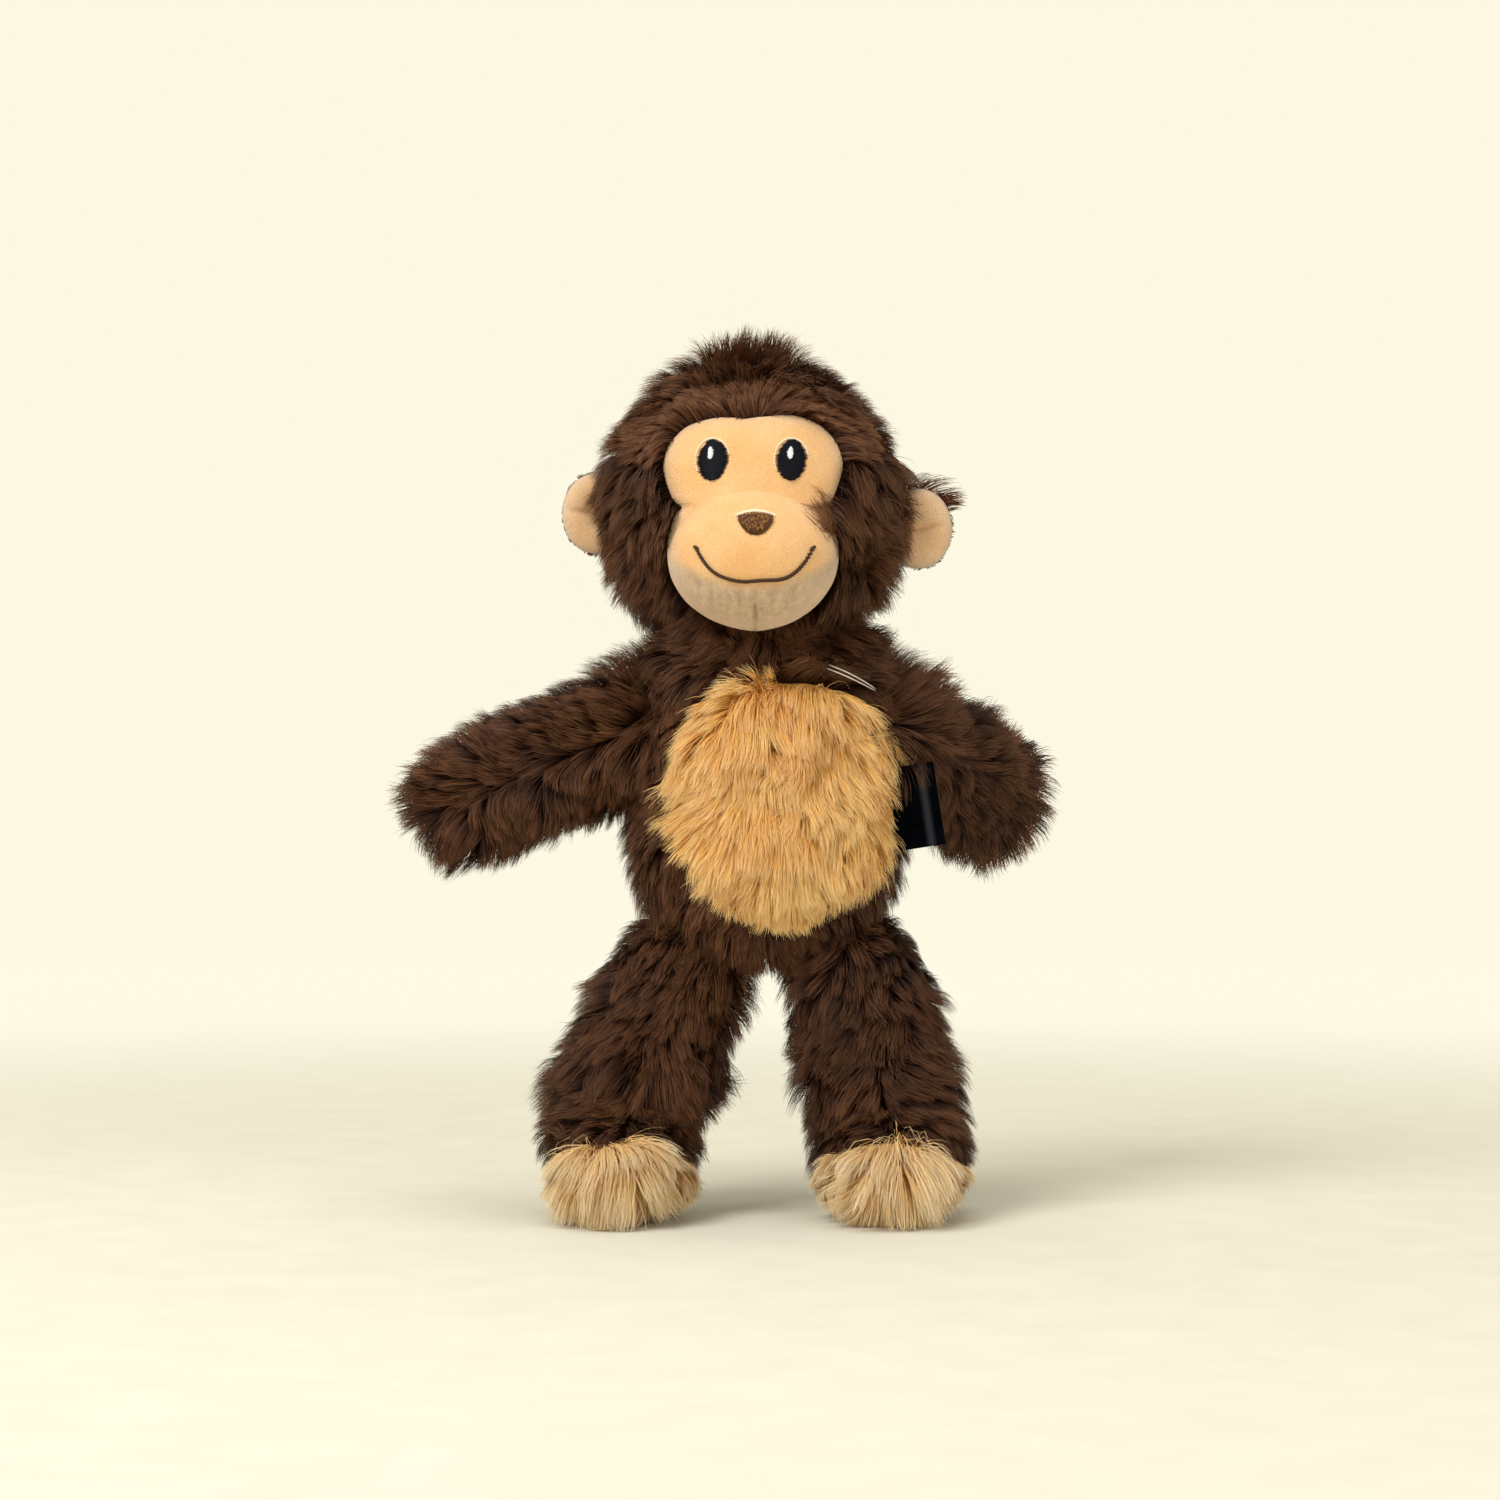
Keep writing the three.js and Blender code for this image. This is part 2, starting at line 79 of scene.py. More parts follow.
# Sizes in millimetres, as the covers are cut.
HEAD = {"width": 45, "depth": 40, "up": 41, "down": 45, "top_curve": 2.0, "bottom_curve": 2.6}
TORSO = {"width": 41, "depth": 30.3, "up": 58, "down": 50, "top_curve": 3.2, "bottom_curve": 2.8}
NECK = {"width": 27, "depth": 24, "up": 16, "down": 16, "top_curve": 2, "bottom_curve": 2}
MUZZLE = {"forward": 34, "drop": 25, "radii": (27.5, 20, 22.3)}
ARM_RADII = (15.5, 16.0, 15.0)
LEG_RADII = (18, 18.5, 20.5)
TOP_STRANDS = {"left": 8.0, "right": 1.5}  # how much longer the pile is on top of an ear
TOP_GROWTH = {"left": 5.0, "right": 0.0}  # how much longer the pile is on top of an arm
TIP_GROWTH = {"left": 4.5, "right": 2.5}  # how much longer the pile is at the tip of an arm
ARM_TONE = 0.3  # how light the pile of an arm is, from 0 to 1
LEG_TONE = {"left": 0.27, "right": 0.33}
ANKLE_FLARE = {"left": 1.0, "right": 4.0}  # how much longer the pile is just over an ankle
SHIN_BOW = {"left": 0, "right": 5}  # how far a shin bows outwards
FOOT = {"radii": (22.5, 30, 21.5), "height": 15, "toe": 9}
SPLAY = {"left": 0, "right": 3}  # how far to the toy's right the longest pile of a sole grows
SOLE = {"heel": 4.5, "toe": 30}  # heights of the edge of the tan sole
SEAM_DEPTH = 2.2  # how deep a seam pulls its cover in
SEAM_HALF = 3.5  # how far beside a seam it does
NO_SEAM = 99  # where no seam is near
HEAD_SEAM_Y = -6  # the seam from ear to ear over the head, from its middle
CROWN_FOOT = 12  # the crown's pile ends this far above the middle of the head
BELLY = {"rx": 33, "rz": 39, "blunt": 2.8, "narrow": 0.16}  # blunt above, narrower below
BROW = {"height": 31, "arch": 0.008, "half": 38}  # the short pile over the face ends at this arch
LABEL = {"width": 17.5, "height": 27.5, "lean": 9, "cloth": 0.22}  # folded; the lean in degrees

# Pile that isn't like the rest: see plush() for the rest and for what the values mean.
CROWN_PILE = {"droop": 0.12, "clump": 2.3, "lock": 9, "tight": 0.4, "tone": 0.58, "wave": 0.3,
              "stray": 0.24}
SHORT_PILE = {"lift": 0.6, "droop": 0.0, "clump": 2.4, "lock": 8, "tight": 0.45, "per_cm2": 360,
              "width": 0.26, "tone": 0.27, "wave": 0.3}
BELLY_PILE = {"lift": 0.7, "droop": 0.15, "clump": 2.2, "lock": 7, "tight": 0.42, "per_cm2": 440,
              "width": 0.26, "tone": 0.5, "wave": 0.26, "stray": 0.22}
SOFT_SOLE = {"droop": 0.25, "clump": 2.6, "lock": 7, "tight": 0.55, "per_cm2": 380, "width": 0.28,
             "tone": 0.45, "wave": 0.5, "stray": 0.26}
EAR_PILE = {"lift": 0.45, "droop": 0.1, "clump": 2.2, "lock": 6, "tight": 0.5, "per_cm2": 320,
            "width": 0.26, "tone": 0.6, "wave": 0.2, "stray": 0.12}


def joint_at(name):
    return np.array(JOINTS[name]["pos_m"]) / MM


def union_box(*nodes):
    """The box round several CAD nodes, in millimetres."""
    corners = [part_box(node) for node in nodes]
    low = np.min([c[0] for c in corners], axis=0)
    high = np.max([c[1] for c in corners], axis=0)
    return np.array(low) / MM, np.array(high) / MM


HEAD_PANELS = [n for n in frame["nodes"] if n.startswith("head_") and n.endswith("_panel")]
TORSO_PANELS = [n for n in frame["nodes"] if n.startswith("torso_") and n.endswith("_panel")]
head_low, head_high = union_box(*HEAD_PANELS)
torso_low, torso_high = union_box(*TORSO_PANELS)
HEAD_AT = np.array([*(head_low + head_high)[:2] / 2, head_high[2] - HEAD["up"]])
TORSO_AT = np.array([*(torso_low + torso_high)[:2] / 2, torso_low[2] + TORSO["down"]])
BELLY_AT = sum(union_box("belly_patch")) / 2 + [1, 0, 0]
NECK_AT = joint_at("neck_nod")
HEAD_TOP = HEAD_AT + [-1.5, -2, HEAD["up"] + 4]  # the crown's pile fans out from here


# ---- Small tools ----
def unit(v):
    return v / np.maximum(np.linalg.norm(v, axis=-1, keepdims=True), 1e-9)


def smooth(low, high, x):
    t = np.clip((x - low) / (high - low), 0, 1)
    return t * t * (3 - 2 * t)


def vectors(x, y, z):
    """Rows of vectors from numbers and columns of numbers."""
    return np.stack(np.broadcast_arrays(x, y, z), -1)


def new_object(name, data):
    """An object in the scene's own collection."""
    obj = bpy.data.objects.new(name, data)
    bpy.context.scene.collection.objects.link(obj)
    return obj


def mesh_object(name, points, faces, material):
    """A smooth-shaded mesh from points in millimetres."""
    mesh = bpy.data.meshes.new(name)
    mesh.from_pydata((np.asarray(points) * MM).tolist(), [], [list(f) for f in faces])
    mesh.update()
    mesh.shade_smooth()
    mesh.materials.append(material)
    return new_object(name, mesh)


def grid_faces(rows, columns, closed=False):
    """Quads of a grid of points whose columns may close on themselves."""
    faces = []
    for row in range(rows - 1):
        here, above = row * columns, (row + 1) * columns
        for column in range(columns if closed else columns - 1):
            beside = (column + 1) % columns
            faces.append((here + column, here + beside, above + beside, above + column))
    return faces


def arrays(obj):
    """Points and normals in millimetres, and triangles."""
    mesh = obj.data
    points = np.empty(len(mesh.vertices) * 3)
    normals = np.empty(len(mesh.vertices) * 3)
    mesh.vertices.foreach_get("co", points)
    mesh.vertices.foreach_get("normal", normals)
    mesh.calc_loop_triangles()
    triangles = np.empty(len(mesh.loop_triangles) * 3, np.int32)
    mesh.loop_triangles.foreach_get("vertices", triangles)
    return points.reshape(-1, 3) / MM, normals.reshape(-1, 3), triangles.reshape(-1, 3)


def move_points(obj, points):
    obj.data.vertices.foreach_set("co", (points * MM).ravel())
    obj.data.update()


def apply_modifiers(obj):
    evaluated = obj.evaluated_get(bpy.context.evaluated_depsgraph_get())
    mesh = bpy.data.meshes.new_from_object(evaluated)
    obj.modifiers.clear()
    obj.data = mesh
    mesh.shade_smooth()


# ---- Materials ----
PILE_MAP = "OFBake"
BLACK, WHITE = (0, 0, 0), (1, 1, 1)


class Nodes:
    """A material's node tree, with short calls for the nodes that this scene uses."""

    def __init__(self, name, **principled):
        self.material = bpy.data.materials.new(name)
        self.material.use_nodes = True
        self.tree = self.material.node_tree
        self.shader = self.tree.nodes["Principled BSDF"]
        for socket, value in principled.items():
            self.shader.inputs[socket.replace("_", " ")].default_value = value

    def add(self, kind, **values):
        node = self.tree.nodes.new(kind)
        for key, value in values.items():
            setattr(node, key, value)
        return node

    def link(self, source, target):
        self.tree.links.new(source, target)

    def colour(self, source):
        """Takes the colour of the surface from a node."""
        self.link(source, self.shader.inputs["Base Color"])

    def ramp(self, source, *stops):
        """A colour ramp of (place, colour) stops."""
        node = self.add("ShaderNodeValToRGB")
        while len(node.color_ramp.elements) < len(stops):
            node.color_ramp.elements.new(0.5)
        for element, (place, colour) in zip(node.color_ramp.elements, stops):
            element.position = place
            element.color = (*colour, 1)
        self.link(source, node.inputs["Fac"])
        return node.outputs["Color"]

    def mix(self, how, amount, first, second):
        node = self.add("ShaderNodeMix", data_type="RGBA", blend_type=how)
        for index, value in ((0, amount), (6, first), (7, second)):
            socket = node.inputs[index]
            if isinstance(value, bpy.types.NodeSocket):
                self.link(value, socket)
            else:
                socket.default_value = value
        return node.outputs[2]

    def noise(self, scale, detail=3.0, stretch=None):
        """Noise over the piece's own coordinates, in metres; stretch squeezes it along an axis."""
        node = self.add("ShaderNodeTexNoise")
        node.inputs["Scale"].default_value = scale
        node.inputs["Detail"].default_value = detail
        source = self.add("ShaderNodeTexCoord").outputs["Object"]
        if stretch:
            mapping = self.add("ShaderNodeMapping")
            mapping.inputs["Scale"].default_value = stretch
            self.link(source, mapping.inputs["Vector"])
            source = mapping.outputs["Vector"]
        self.link(source, node.inputs["Vector"])
        return node.outputs["Fac"]

    def attribute(self, name):
        """A number that a piece holds for each of its points, or 0 where it holds none."""
        return self.add("ShaderNodeAttribute", attribute_name=name).outputs["Fac"]

    def bump(self, height, strength, distance):
        node = self.add("ShaderNodeBump")
        node.inputs["Strength"].default_value = strength
        node.inputs["Distance"].default_value = distance
        self.link(height, node.inputs["Height"])
        self.link(node.outputs["Normal"], self.shader.inputs["Normal"])


def srgb(*levels):
    """A colour given as 0-255 sRGB levels, in linear light."""
    return tuple(((v / 255 + 0.055) / 1.055) ** 2.4 if v > 10 else v / 3294.6 for v in levels)


def pile(name, tones, root, tip, bleach=0.5):
    """Plush fibres. Across the fibre map runs the dye's tone; up it, root to tip, runs a painted shade."""
    m = Nodes(name, Roughness=0.6, Specular_IOR_Level=0.22)
    at = m.add("ShaderNodeSeparateXYZ")
    m.link(m.add("ShaderNodeUVMap", uv_map=PILE_MAP).outputs["UV"], at.inputs["Vector"])
    tone = m.ramp(at.outputs["X"], *[(i / (len(tones) - 1), srgb(*c)) for i, c in enumerate(tones)])
    halfway = tuple(0.3 * r + 0.65 for r in root)
    # painted shade: the pile darkens towards its roots, deep in the pile
    shade = m.ramp(at.outputs["Y"], (0.0, root), (0.5, halfway), (0.9, WHITE))
    shaded = m.mix("MULTIPLY", 1.0, tone, shade)
    bright = m.ramp(at.outputs["Y"], (0.6, BLACK), (1.0, (bleach, bleach, bleach)))
    m.colour(m.mix("MIX", bright, shaded, (*srgb(*tip), 1)))
    return m.material


def backing(name, dark, light):
    """Knitted backing with the cut roots of the pile in it."""
    m = Nodes(name, Roughness=0.95, Specular_IOR_Level=0.1)
    roots = m.noise(1400, 4)
    m.colour(m.ramp(roots, (0.35, srgb(*dark)), (0.7, srgb(*light))))
    m.bump(roots, 0.8, 0.0006)
    return m.material


def thread(name, dark, light, roughness=0.5, shine=0.3):
    """Embroidery thread: fine filaments that twist along it."""
    m = Nodes(name, Roughness=roughness, Specular_IOR_Level=shine)
    twist = m.noise(2600, 2)
    m.colour(m.ramp(twist, (0.3, srgb(*dark)), (0.75, srgb(*light))))
    m.bump(twist, 0.5, 0.0002)
    return m.material


# Root colours: painted shade deep in the pile; the warm one also paints light glowing through the pale
# pile.
DARK_ROOT_SHADE = (0.34, 0.28, 0.24)
WARM_GLOW_ROOT_SHADE = (1.0, 0.82, 0.58)
BROWN_DYE = [(44, 21, 9), (75, 42, 21), (102, 62, 34), (138, 94, 60)]
BROW_DYE = [(84, 50, 28), (112, 70, 42), (148, 98, 60)]
TAN_DYE = [(240, 172, 84), (252, 202, 112), (255, 224, 150)]
SOLE_DYE = [(232, 190, 122), (246, 216, 158), (250, 234, 194)]
BROWN = pile("brown_pile", BROWN_DYE, DARK_ROOT_SHADE, (150, 104, 68), 0.35)
# the brow's short pile takes a lighter painted shade at its roots
BROW_PILE = pile("brow_pile", BROW_DYE, (0.6, 0.52, 0.46), (168, 116, 76), 0.4)
TAN = pile("belly_pile", TAN_DYE, WARM_GLOW_ROOT_SHADE, (254, 230, 184))
SOLE_PILE = pile("sole_pile", SOLE_DYE, WARM_GLOW_ROOT_SHADE, (228, 216, 190), 0.65)
# the backing's own brown, kept dark so that gaps in the pile show as painted shade
BROWN_BACKING = backing("brown_backing", (22, 12, 8), (48, 30, 21))
TAN_BACKING = backing("tan_backing", (222, 152, 78), (246, 190, 114))
NAVY_THREAD = thread("navy_thread", (2, 4, 9), (10, 14, 26), 0.45, 0.14)
WHITE_THREAD = thread("white_thread", (232, 236, 240), (255, 255, 255))
CREAM_THREAD = thread("cream_thread", (252, 226, 186), (255, 246, 224), 0.7)
NOSE_THREAD = thread("nose_thread_brown", (70, 38, 14), (104, 64, 26))
# gold thread flecks that paint the highlights of the nose's satin stitches
NOSE_HIGHLIGHT = thread("nose_thread_highlight", (140, 92, 40), (186, 132, 68))
MOUTH_THREAD = thread("mouth_thread_brown", (44, 26, 14), (88, 58, 32), 0.7)


# ---- Stuffed covers ----
def stuffed_form(form, middle, rows=40, columns=64):
    """A stuffed cover's points: an ellipse in plan, with its own bluntness above and below."""
    t = np.linspace(-math.pi / 2, math.pi / 2, rows)[:, None]
    a = np.linspace(0, 2 * math.pi, columns, endpoint=False)[None, :]
    power = np.where(t > 0, 2 / form["top_curve"], 2 / form["bottom_curve"])
    around = np.abs(np.cos(t)) ** power
    height = np.where(t > 0, form["up"], -form["down"]) * np.abs(np.sin(t)) ** power
    x = form["width"] * around * np.cos(a)
    y = form["depth"] * around * np.sin(a)
    points = np.stack([x, y, height + 0 * a], -1).reshape(-1, 3) + middle
    return points, grid_faces(rows, columns, closed=True)


def rings(centre, radius, side, up, columns):
    """Circles of points round a path."""
    a = np.linspace(0, 2 * math.pi, columns, endpoint=False)
    ring = np.cos(a)[None, :, None] * side[:, None] + np.sin(a)[None, :, None] * up[:, None]
    return (centre[:, None] + radius[:, None, None] * ring).reshape(-1, 3)


def limb_form(path, radii, rows=28, columns=32):
    """A round-ended tube along a bent path, with radii at its start, middle and end."""
    start, middle, end = (np.asarray(p, float) for p in path)
    t = np.linspace(0, 1, rows)
    s = t[:, None]
    centre = (1 - s) ** 2 * start + 2 * (s * (1 - s)) * middle + s**2 * end
    along = unit(np.gradient(centre, axis=0))
    side = unit(np.cross(along, [0.0, 0.31, 1.0]))
    up = np.cross(side, along)
    length = np.linalg.norm(end - start)
    radius = np.interp(t, [0, 0.5, 1], radii)
    for from_end, reach in ((t * length, radii[0]), ((1 - t) * length, radii[2])):
        inside = np.clip(1 - from_end / reach, 0, 1)
        radius = radius * np.sqrt(1 - inside**2)
    return rings(centre, radius, side, up, columns), grid_faces(rows, columns, closed=True)


def joined(*forms):
    """Several point and face lists as one."""
    points, faces = [], []
    for p, f in forms:
        shift = sum(len(q) for q in points)
        faces += [tuple(i + shift for i in face) for face in f]
        points.append(p)
    return np.concatenate(points), faces


def stuff(name, form, seam, material, floor=None, cap=5.0):
    """A cover sewn to shape and puffed out by its filling. `seam` gives each point's distance to a seam."""
    obj = mesh_object(name, *form, material)
    remesh = obj.modifiers.new("even", "REMESH")
    remesh.mode = "VOXEL"
    remesh.voxel_size = 4 * MM
    apply_modifiers(obj)
    points, normals, _ = arrays(obj)
    closeness = np.exp(-((seam(points) / SEAM_HALF) ** 2))
    points = points - normals * (SEAM_DEPTH * closeness)[:, None]
    move_points(obj, points)
    puff(obj, points, closeness, cap)
    if floor is not None:
        points, _, _ = arrays(obj)
        points[:, 2] = np.maximum(points[:, 2], floor)
        move_points(obj, points)
    obj.modifiers.new("smooth", "SUBSURF").levels = 1
    apply_modifiers(obj)
    obj.data.materials.clear()
    obj.data.materials.append(material)
    return obj


def patch_backing(skin, inside, material):
    """Gives the part of a cover where `inside` holds its own backing."""
    skin.data.materials.append(material)
    points, normals, _ = arrays(skin)
    flags = inside(points, normals)
    for face in skin.data.polygons:
        face.material_index = int(flags[face.vertices[0]])


def puff(obj, start, closeness, cap):
    """Cloth under inner pressure, held at its seams, that moves at most `cap` from where it started."""
    held = obj.vertex_groups.new(name="seams")
    for i, weight in enumerate(np.clip(closeness * 1.2, 0, 1)):
        held.add([i], float(max(weight, 0.25)), "REPLACE")
    cloth = obj.modifiers.new("cloth", "CLOTH")
    settings = cloth.settings
    settings.vertex_group_mass = "seams"
    settings.pin_stiffness = 0.6
    settings.quality = 4
    settings.mass = 0.15
    settings.tension_stiffness = settings.compression_stiffness = 12
    settings.bending_stiffness = 0.4
    settings.use_pressure = True
    settings.uniform_pressure_force = 4
    settings.effector_weights.gravity = 0
    scene = bpy.context.scene
    for step in range(1, 21):
        scene.frame_set(step)
    moved = obj.evaluated_get(bpy.context.evaluated_depsgraph_get())
    points = np.empty(len(moved.data.vertices) * 3)
    moved.data.vertices.foreach_get("co", points)
    shift = points.reshape(-1, 3) / MM - start
    far = np.linalg.norm(shift, axis=1, keepdims=True)
    obj.modifiers.clear()
    scene.frame_set(1)
    move_points(obj, start + shift * np.minimum(1, cap / np.maximum(far, 1e-6)))


# ---- Pile ----
STEPS = 4  # lengths of ribbon in one fibre bundle
UP_FIBRE = np.linspace(0, 1, STEPS + 1)
TONES = 128  # cells across the fibre map
MOST_FIBRES = 24500  # on one piece
FLOOR = 0.5  # how far above the floor the pile stays


def sow(skin, keep, per_cm2, rng):
    """Random roots on the part of a cover where `keep` holds: places and normals."""
    points, normals, triangles = arrays(skin)
    a, b, c = (points[triangles[:, i]] for i in range(3))
    area = np.linalg.norm(np.cross(b - a, c - a), axis=1) / 2
    area = area * keep((a + b + c) / 3, unit(normals[triangles].mean(1)))
    count = min(int(area.sum() / 100 * per_cm2), MOST_FIBRES)
    chosen = np.searchsorted(np.cumsum(area), rng.random(count) * area.sum())
    chosen = np.minimum(chosen, len(triangles) - 1)
    u, v = np.sqrt(rng.random(count)), rng.random(count)
    weights = np.stack([1 - u, u * (1 - v), u * v], 1)[:, :, None]
    roots = (points[triangles[chosen]] * weights).sum(1)
    return roots, unit((normals[triangles[chosen]] * weights).sum(1)), area.sum()


def combed(roots, normals, flow, length, lift, droop):
    """Each fibre's points from root to tip: it stands up from the cover, then lies over along `flow`."""
    tangent = flow - normals * (flow * normals).sum(1, keepdims=True)
    points = [roots]
    for k in range(STEPS):
        s = (k + 0.5) / STEPS
        way = unit(normals * (lift * (1.5 - 1.25 * s))[:, None] + tangent * (0.35 + s) + [0, 0, -droop * s])
        points.append(points[-1] + way * (length / STEPS)[:, None])
    return np.stack(points, 1)


def wander(points, scale, rng, count=6):
    """Smooth noise of about -1 to 1 over space, the same for neighbours."""
    total = np.zeros(len(points))
    for _ in range(count):
        wave = unit(rng.normal(size=3)) * 2 * math.pi / scale * rng.uniform(0.6, 1.6)
        total += np.sin(points @ wave + rng.uniform(0, 2 * math.pi))
    return total / math.sqrt(count) / 1.2


def nearest(points, leads):
    """The index of the nearest lead of each point."""
    tree = KDTree(len(leads))
    for i, lead in enumerate(leads):
        tree.insert(lead, i)
    tree.balance()
    return np.array([tree.find(p)[1] for p in points])


def spread(value, roots):
    """A number for each root, from one number or from a rule over places."""
    return np.broadcast_to(value(roots) if callable(value) else float(value), (len(roots),))


def within_room(lengths, roots, normals):
    """Shortens the fibres that would stand out too far from the CAD box."""
    free = np.where(normals > 0, CAD_HIGH + ROOM - roots, roots - CAD_LOW + ROOM)
    return np.minimum(lengths, 0.8 * (free / np.maximum(np.abs(normals), 0.05)).min(1))


def plush(name, skin, material, keep, flow, length, seed, node=None, slot="brown_plush", lift=1.0,
          droop=0.3, clump=2.7, lock=10.0, tight=0.48, per_cm2=290, width=0.3, tone=0.4, wave=0.4,
          stray=0.2):
    """Long pile on a cover, seen in place of `node`. Fibres lie along `flow`, gather into clumps, and
    clumps into bigger locks.

    `clump` and `lock` are the distances between neighbours and `width` is a fibre's, in millimetres.
    `lift` stands the pile up, `droop` pulls it down, and `tight` gathers the tips of a clump. `wave` and
    `stray` turn the pile from its flow, over a stretch and for one fibre. `tone` is how light it is.
    """
    rng = np.random.default_rng(seed)
    roots, normals, area = sow(skin, keep, per_cm2 * (1), rng)
    count = len(roots)
    lead = rng.choice(count, max(8, int(area / clump**2)), replace=False)
    head = rng.choice(len(lead), max(3, int(area / lock**2)), replace=False)
    mine = nearest(roots, roots[lead])
    mine_lock = nearest(roots[lead], roots[lead[head]])

    lengths = spread(length, roots) * (1 + 0.12 * wander(roots, 24, rng))
    lengths = within_room(lengths, roots, normals)
    lifts = spread(lift, roots) * (1 + 0.38 * wander(roots, 17, rng))
    drift = np.stack([wander(roots, 30, rng) for _ in range(3)], 1)
    ways = unit(unit(flow(roots, normals)) + drift * wave)
    swirl = rng.normal(size=(len(lead), 3)) * 0.17 + (rng.normal(size=(len(head), 3)) * 0.2)[mine_lock]
    clump_size = rng.uniform(0.8, 1.15, len(lead))
    clump_lift = rng.uniform(0.75, 1.25, len(lead)) * rng.uniform(0.75, 1.3, len(head))[mine_lock]
    guide = combed(roots[lead], normals[lead], unit(ways[lead] + swirl), lengths[lead] * clump_size,
                   lifts[lead] * clump_lift, droop)
    own = combed(roots, normals, unit(ways + swirl[mine] + rng.normal(size=(count, 3)) * stray),
                 lengths * clump_size[mine] * rng.uniform(0.75, 1.08, count),
                 lifts * clump_lift[mine], droop)
    guide = guide + (guide[head][mine_lock] - guide) * (0.34 * UP_FIBRE**1.3)[None, :, None]
    hold = np.where(rng.random(count) < 0.1, 0.2, tight * rng.uniform(0.75, 1.1, count))
    own = own + (guide[mine] - own) * (hold[:, None] * UP_FIBRE[None, :] ** 1.2)[:, :, None]
    own[:, :, 2] = np.maximum(own[:, :, 2], FLOOR)
    own = np.clip(own, CAD_LOW - ROOM, CAD_HIGH + ROOM)

    along = unit(np.gradient(own, axis=1))
    across = unit(np.cross(along, normals[:, None, :]))
    roll = rng.normal(size=count)[:, None, None] * 0.4
    across = unit(across + np.cross(across, along) * roll)
    half = width / 2 * rng.uniform(0.75, 1.25, count)

    shade = tone + 0.16 * wander(roots, 26, rng)
    shade += rng.normal(size=len(lead))[mine] * 0.11 + rng.normal(size=count) * 0.07
    cell = np.clip((shade * TONES).astype(int), 0, TONES - 1)
    fur = ribbons(name, own, across, half, cell, material)
    if node:
        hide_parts(node)
    return fur


def ribbons(name, middles, across, half, cell, material):
    """Tapered ribbons as one mesh, each on its tone's cell of the fibre map."""
    out = across * (half[:, None] * (1 - 0.85 * UP_FIBRE[None, :] ** 1.6))[:, :, None]
    edges = np.stack([middles - out, middles + out], 2)
    count, levels = edges.shape[:2]
    base = (np.arange(count) * levels * 2)[:, None] + np.arange(levels - 1)[None, :] * 2
    quads = np.stack([base, base + 1, base + 3, base + 2], -1).reshape(-1, 4).astype(np.int32)
    mesh = bpy.data.meshes.new(name)
    mesh.vertices.add(edges.size // 3)
    mesh.vertices.foreach_set("co", (edges * MM).ravel())
    mesh.loops.add(quads.size)
    mesh.loops.foreach_set("vertex_index", quads.ravel())
    mesh.polygons.add(len(quads))
    mesh.polygons.foreach_set("loop_start", np.arange(0, quads.size, 4, dtype=np.int32))
    mesh.polygons.foreach_set("use_smooth", np.ones(len(quads), bool))
    mesh.update(calc_edges=True)
    place = np.empty((count, levels, 2, 2))
    place[..., 0, 0] = ((cell + 0.12) / TONES)[:, None]
    place[..., 1, 0] = ((cell + 0.88) / TONES)[:, None]
    place[..., 1] = (0.004 + 0.992 * UP_FIBRE)[None, :, None]
    mesh.uv_layers.new(name=PILE_MAP).data.foreach_set("uv", place.reshape(-1, 2)[quads.ravel()].ravel())
    mesh.materials.append(material)
    return new_object(name, mesh)


# ---- The face ----
FACE_X, FACE_Z = HEAD_AT[0], HEAD_AT[2]
# The face's edge, from the dip over the nose round by the toy's right side, in millimetres from the
# middle of the head: two lobes round the eyes, a pinch on each side, and the jaw round the muzzle.
FACE_EDGE = [
    (-2.5, 21.8), (-13, 22.4), (-22.4, 19.2), (-28, 13), (-29.6, 6.5), (-28, -0.6), (-23.6, -7.6),
    (-25.8, -13.6), (-26.9, -21.5), (-25.6, -30), (-21, -37.4), (-13.6, -42.8), (1.2, -46.6), (12.6, -43.8),
    (20.2, -38.6), (25.6, -31), (27.4, -23), (26.2, -14), (24, -7.4), (28.2, -0.4), (30, 7.5),
    (27.8, 14.4), (22.8, 19.8), (14.2, 23.2), (5, 22.8),
]
FACE_MIDDLE = (0.0, -8.0)  # the whole of the edge is seen from here
CREASE_Z = -7.6  # the pinched line between the upper face and the muzzle
DART_X = 0.8  # the dart in the chin
FACE_GRID = {"round": 420, "out": 88}


def face_reach(angle):
    """The distance from the middle of the face to its edge, at an angle from +X: a smooth closed curve."""
    corners = np.array(FACE_EDGE) - FACE_MIDDLE
    angles = np.unwrap(np.arctan2(corners[:, 1], corners[:, 0]))
    reach = np.hypot(corners[:, 0], corners[:, 1])
    order = np.argsort(angles)
    fine = np.linspace(0, 2 * math.pi, 721)
    whole = np.interp(fine, angles[order] % (2 * math.pi), reach[order], period=2 * math.pi)
    ring = np.concatenate([whole[-13:-1], whole, whole[1:13]])
    bell = np.exp(-(np.linspace(-2, 2, 25) ** 2))
    smoothed = np.convolve(ring, bell / bell.sum(), "valid")
    return np.interp(angle % (2 * math.pi), fine, smoothed)


def face_margin(x, z):
    """How far a point of the face is inside its edge, in millimetres; negative outside."""
    x, z = x - FACE_MIDDLE[0], z - FACE_MIDDLE[1]
    return face_reach(np.arctan2(z, x)) - np.hypot(x, z)


def head_front(x, z):
    """Distance of the head's front in front of its middle."""
    rise = np.where(z > 0, z / HEAD["up"], -z / HEAD["down"])
    curve = np.where(z > 0, HEAD["top_curve"], HEAD["bottom_curve"])
    ring = np.clip(1 - np.abs(np.clip(rise, 0, 1)) ** curve, 0, 1) ** (1 / curve)
    inside = np.clip(ring**2 - (x / HEAD["width"]) ** 2, 0, 1)
    return HEAD["depth"] * np.sqrt(inside)


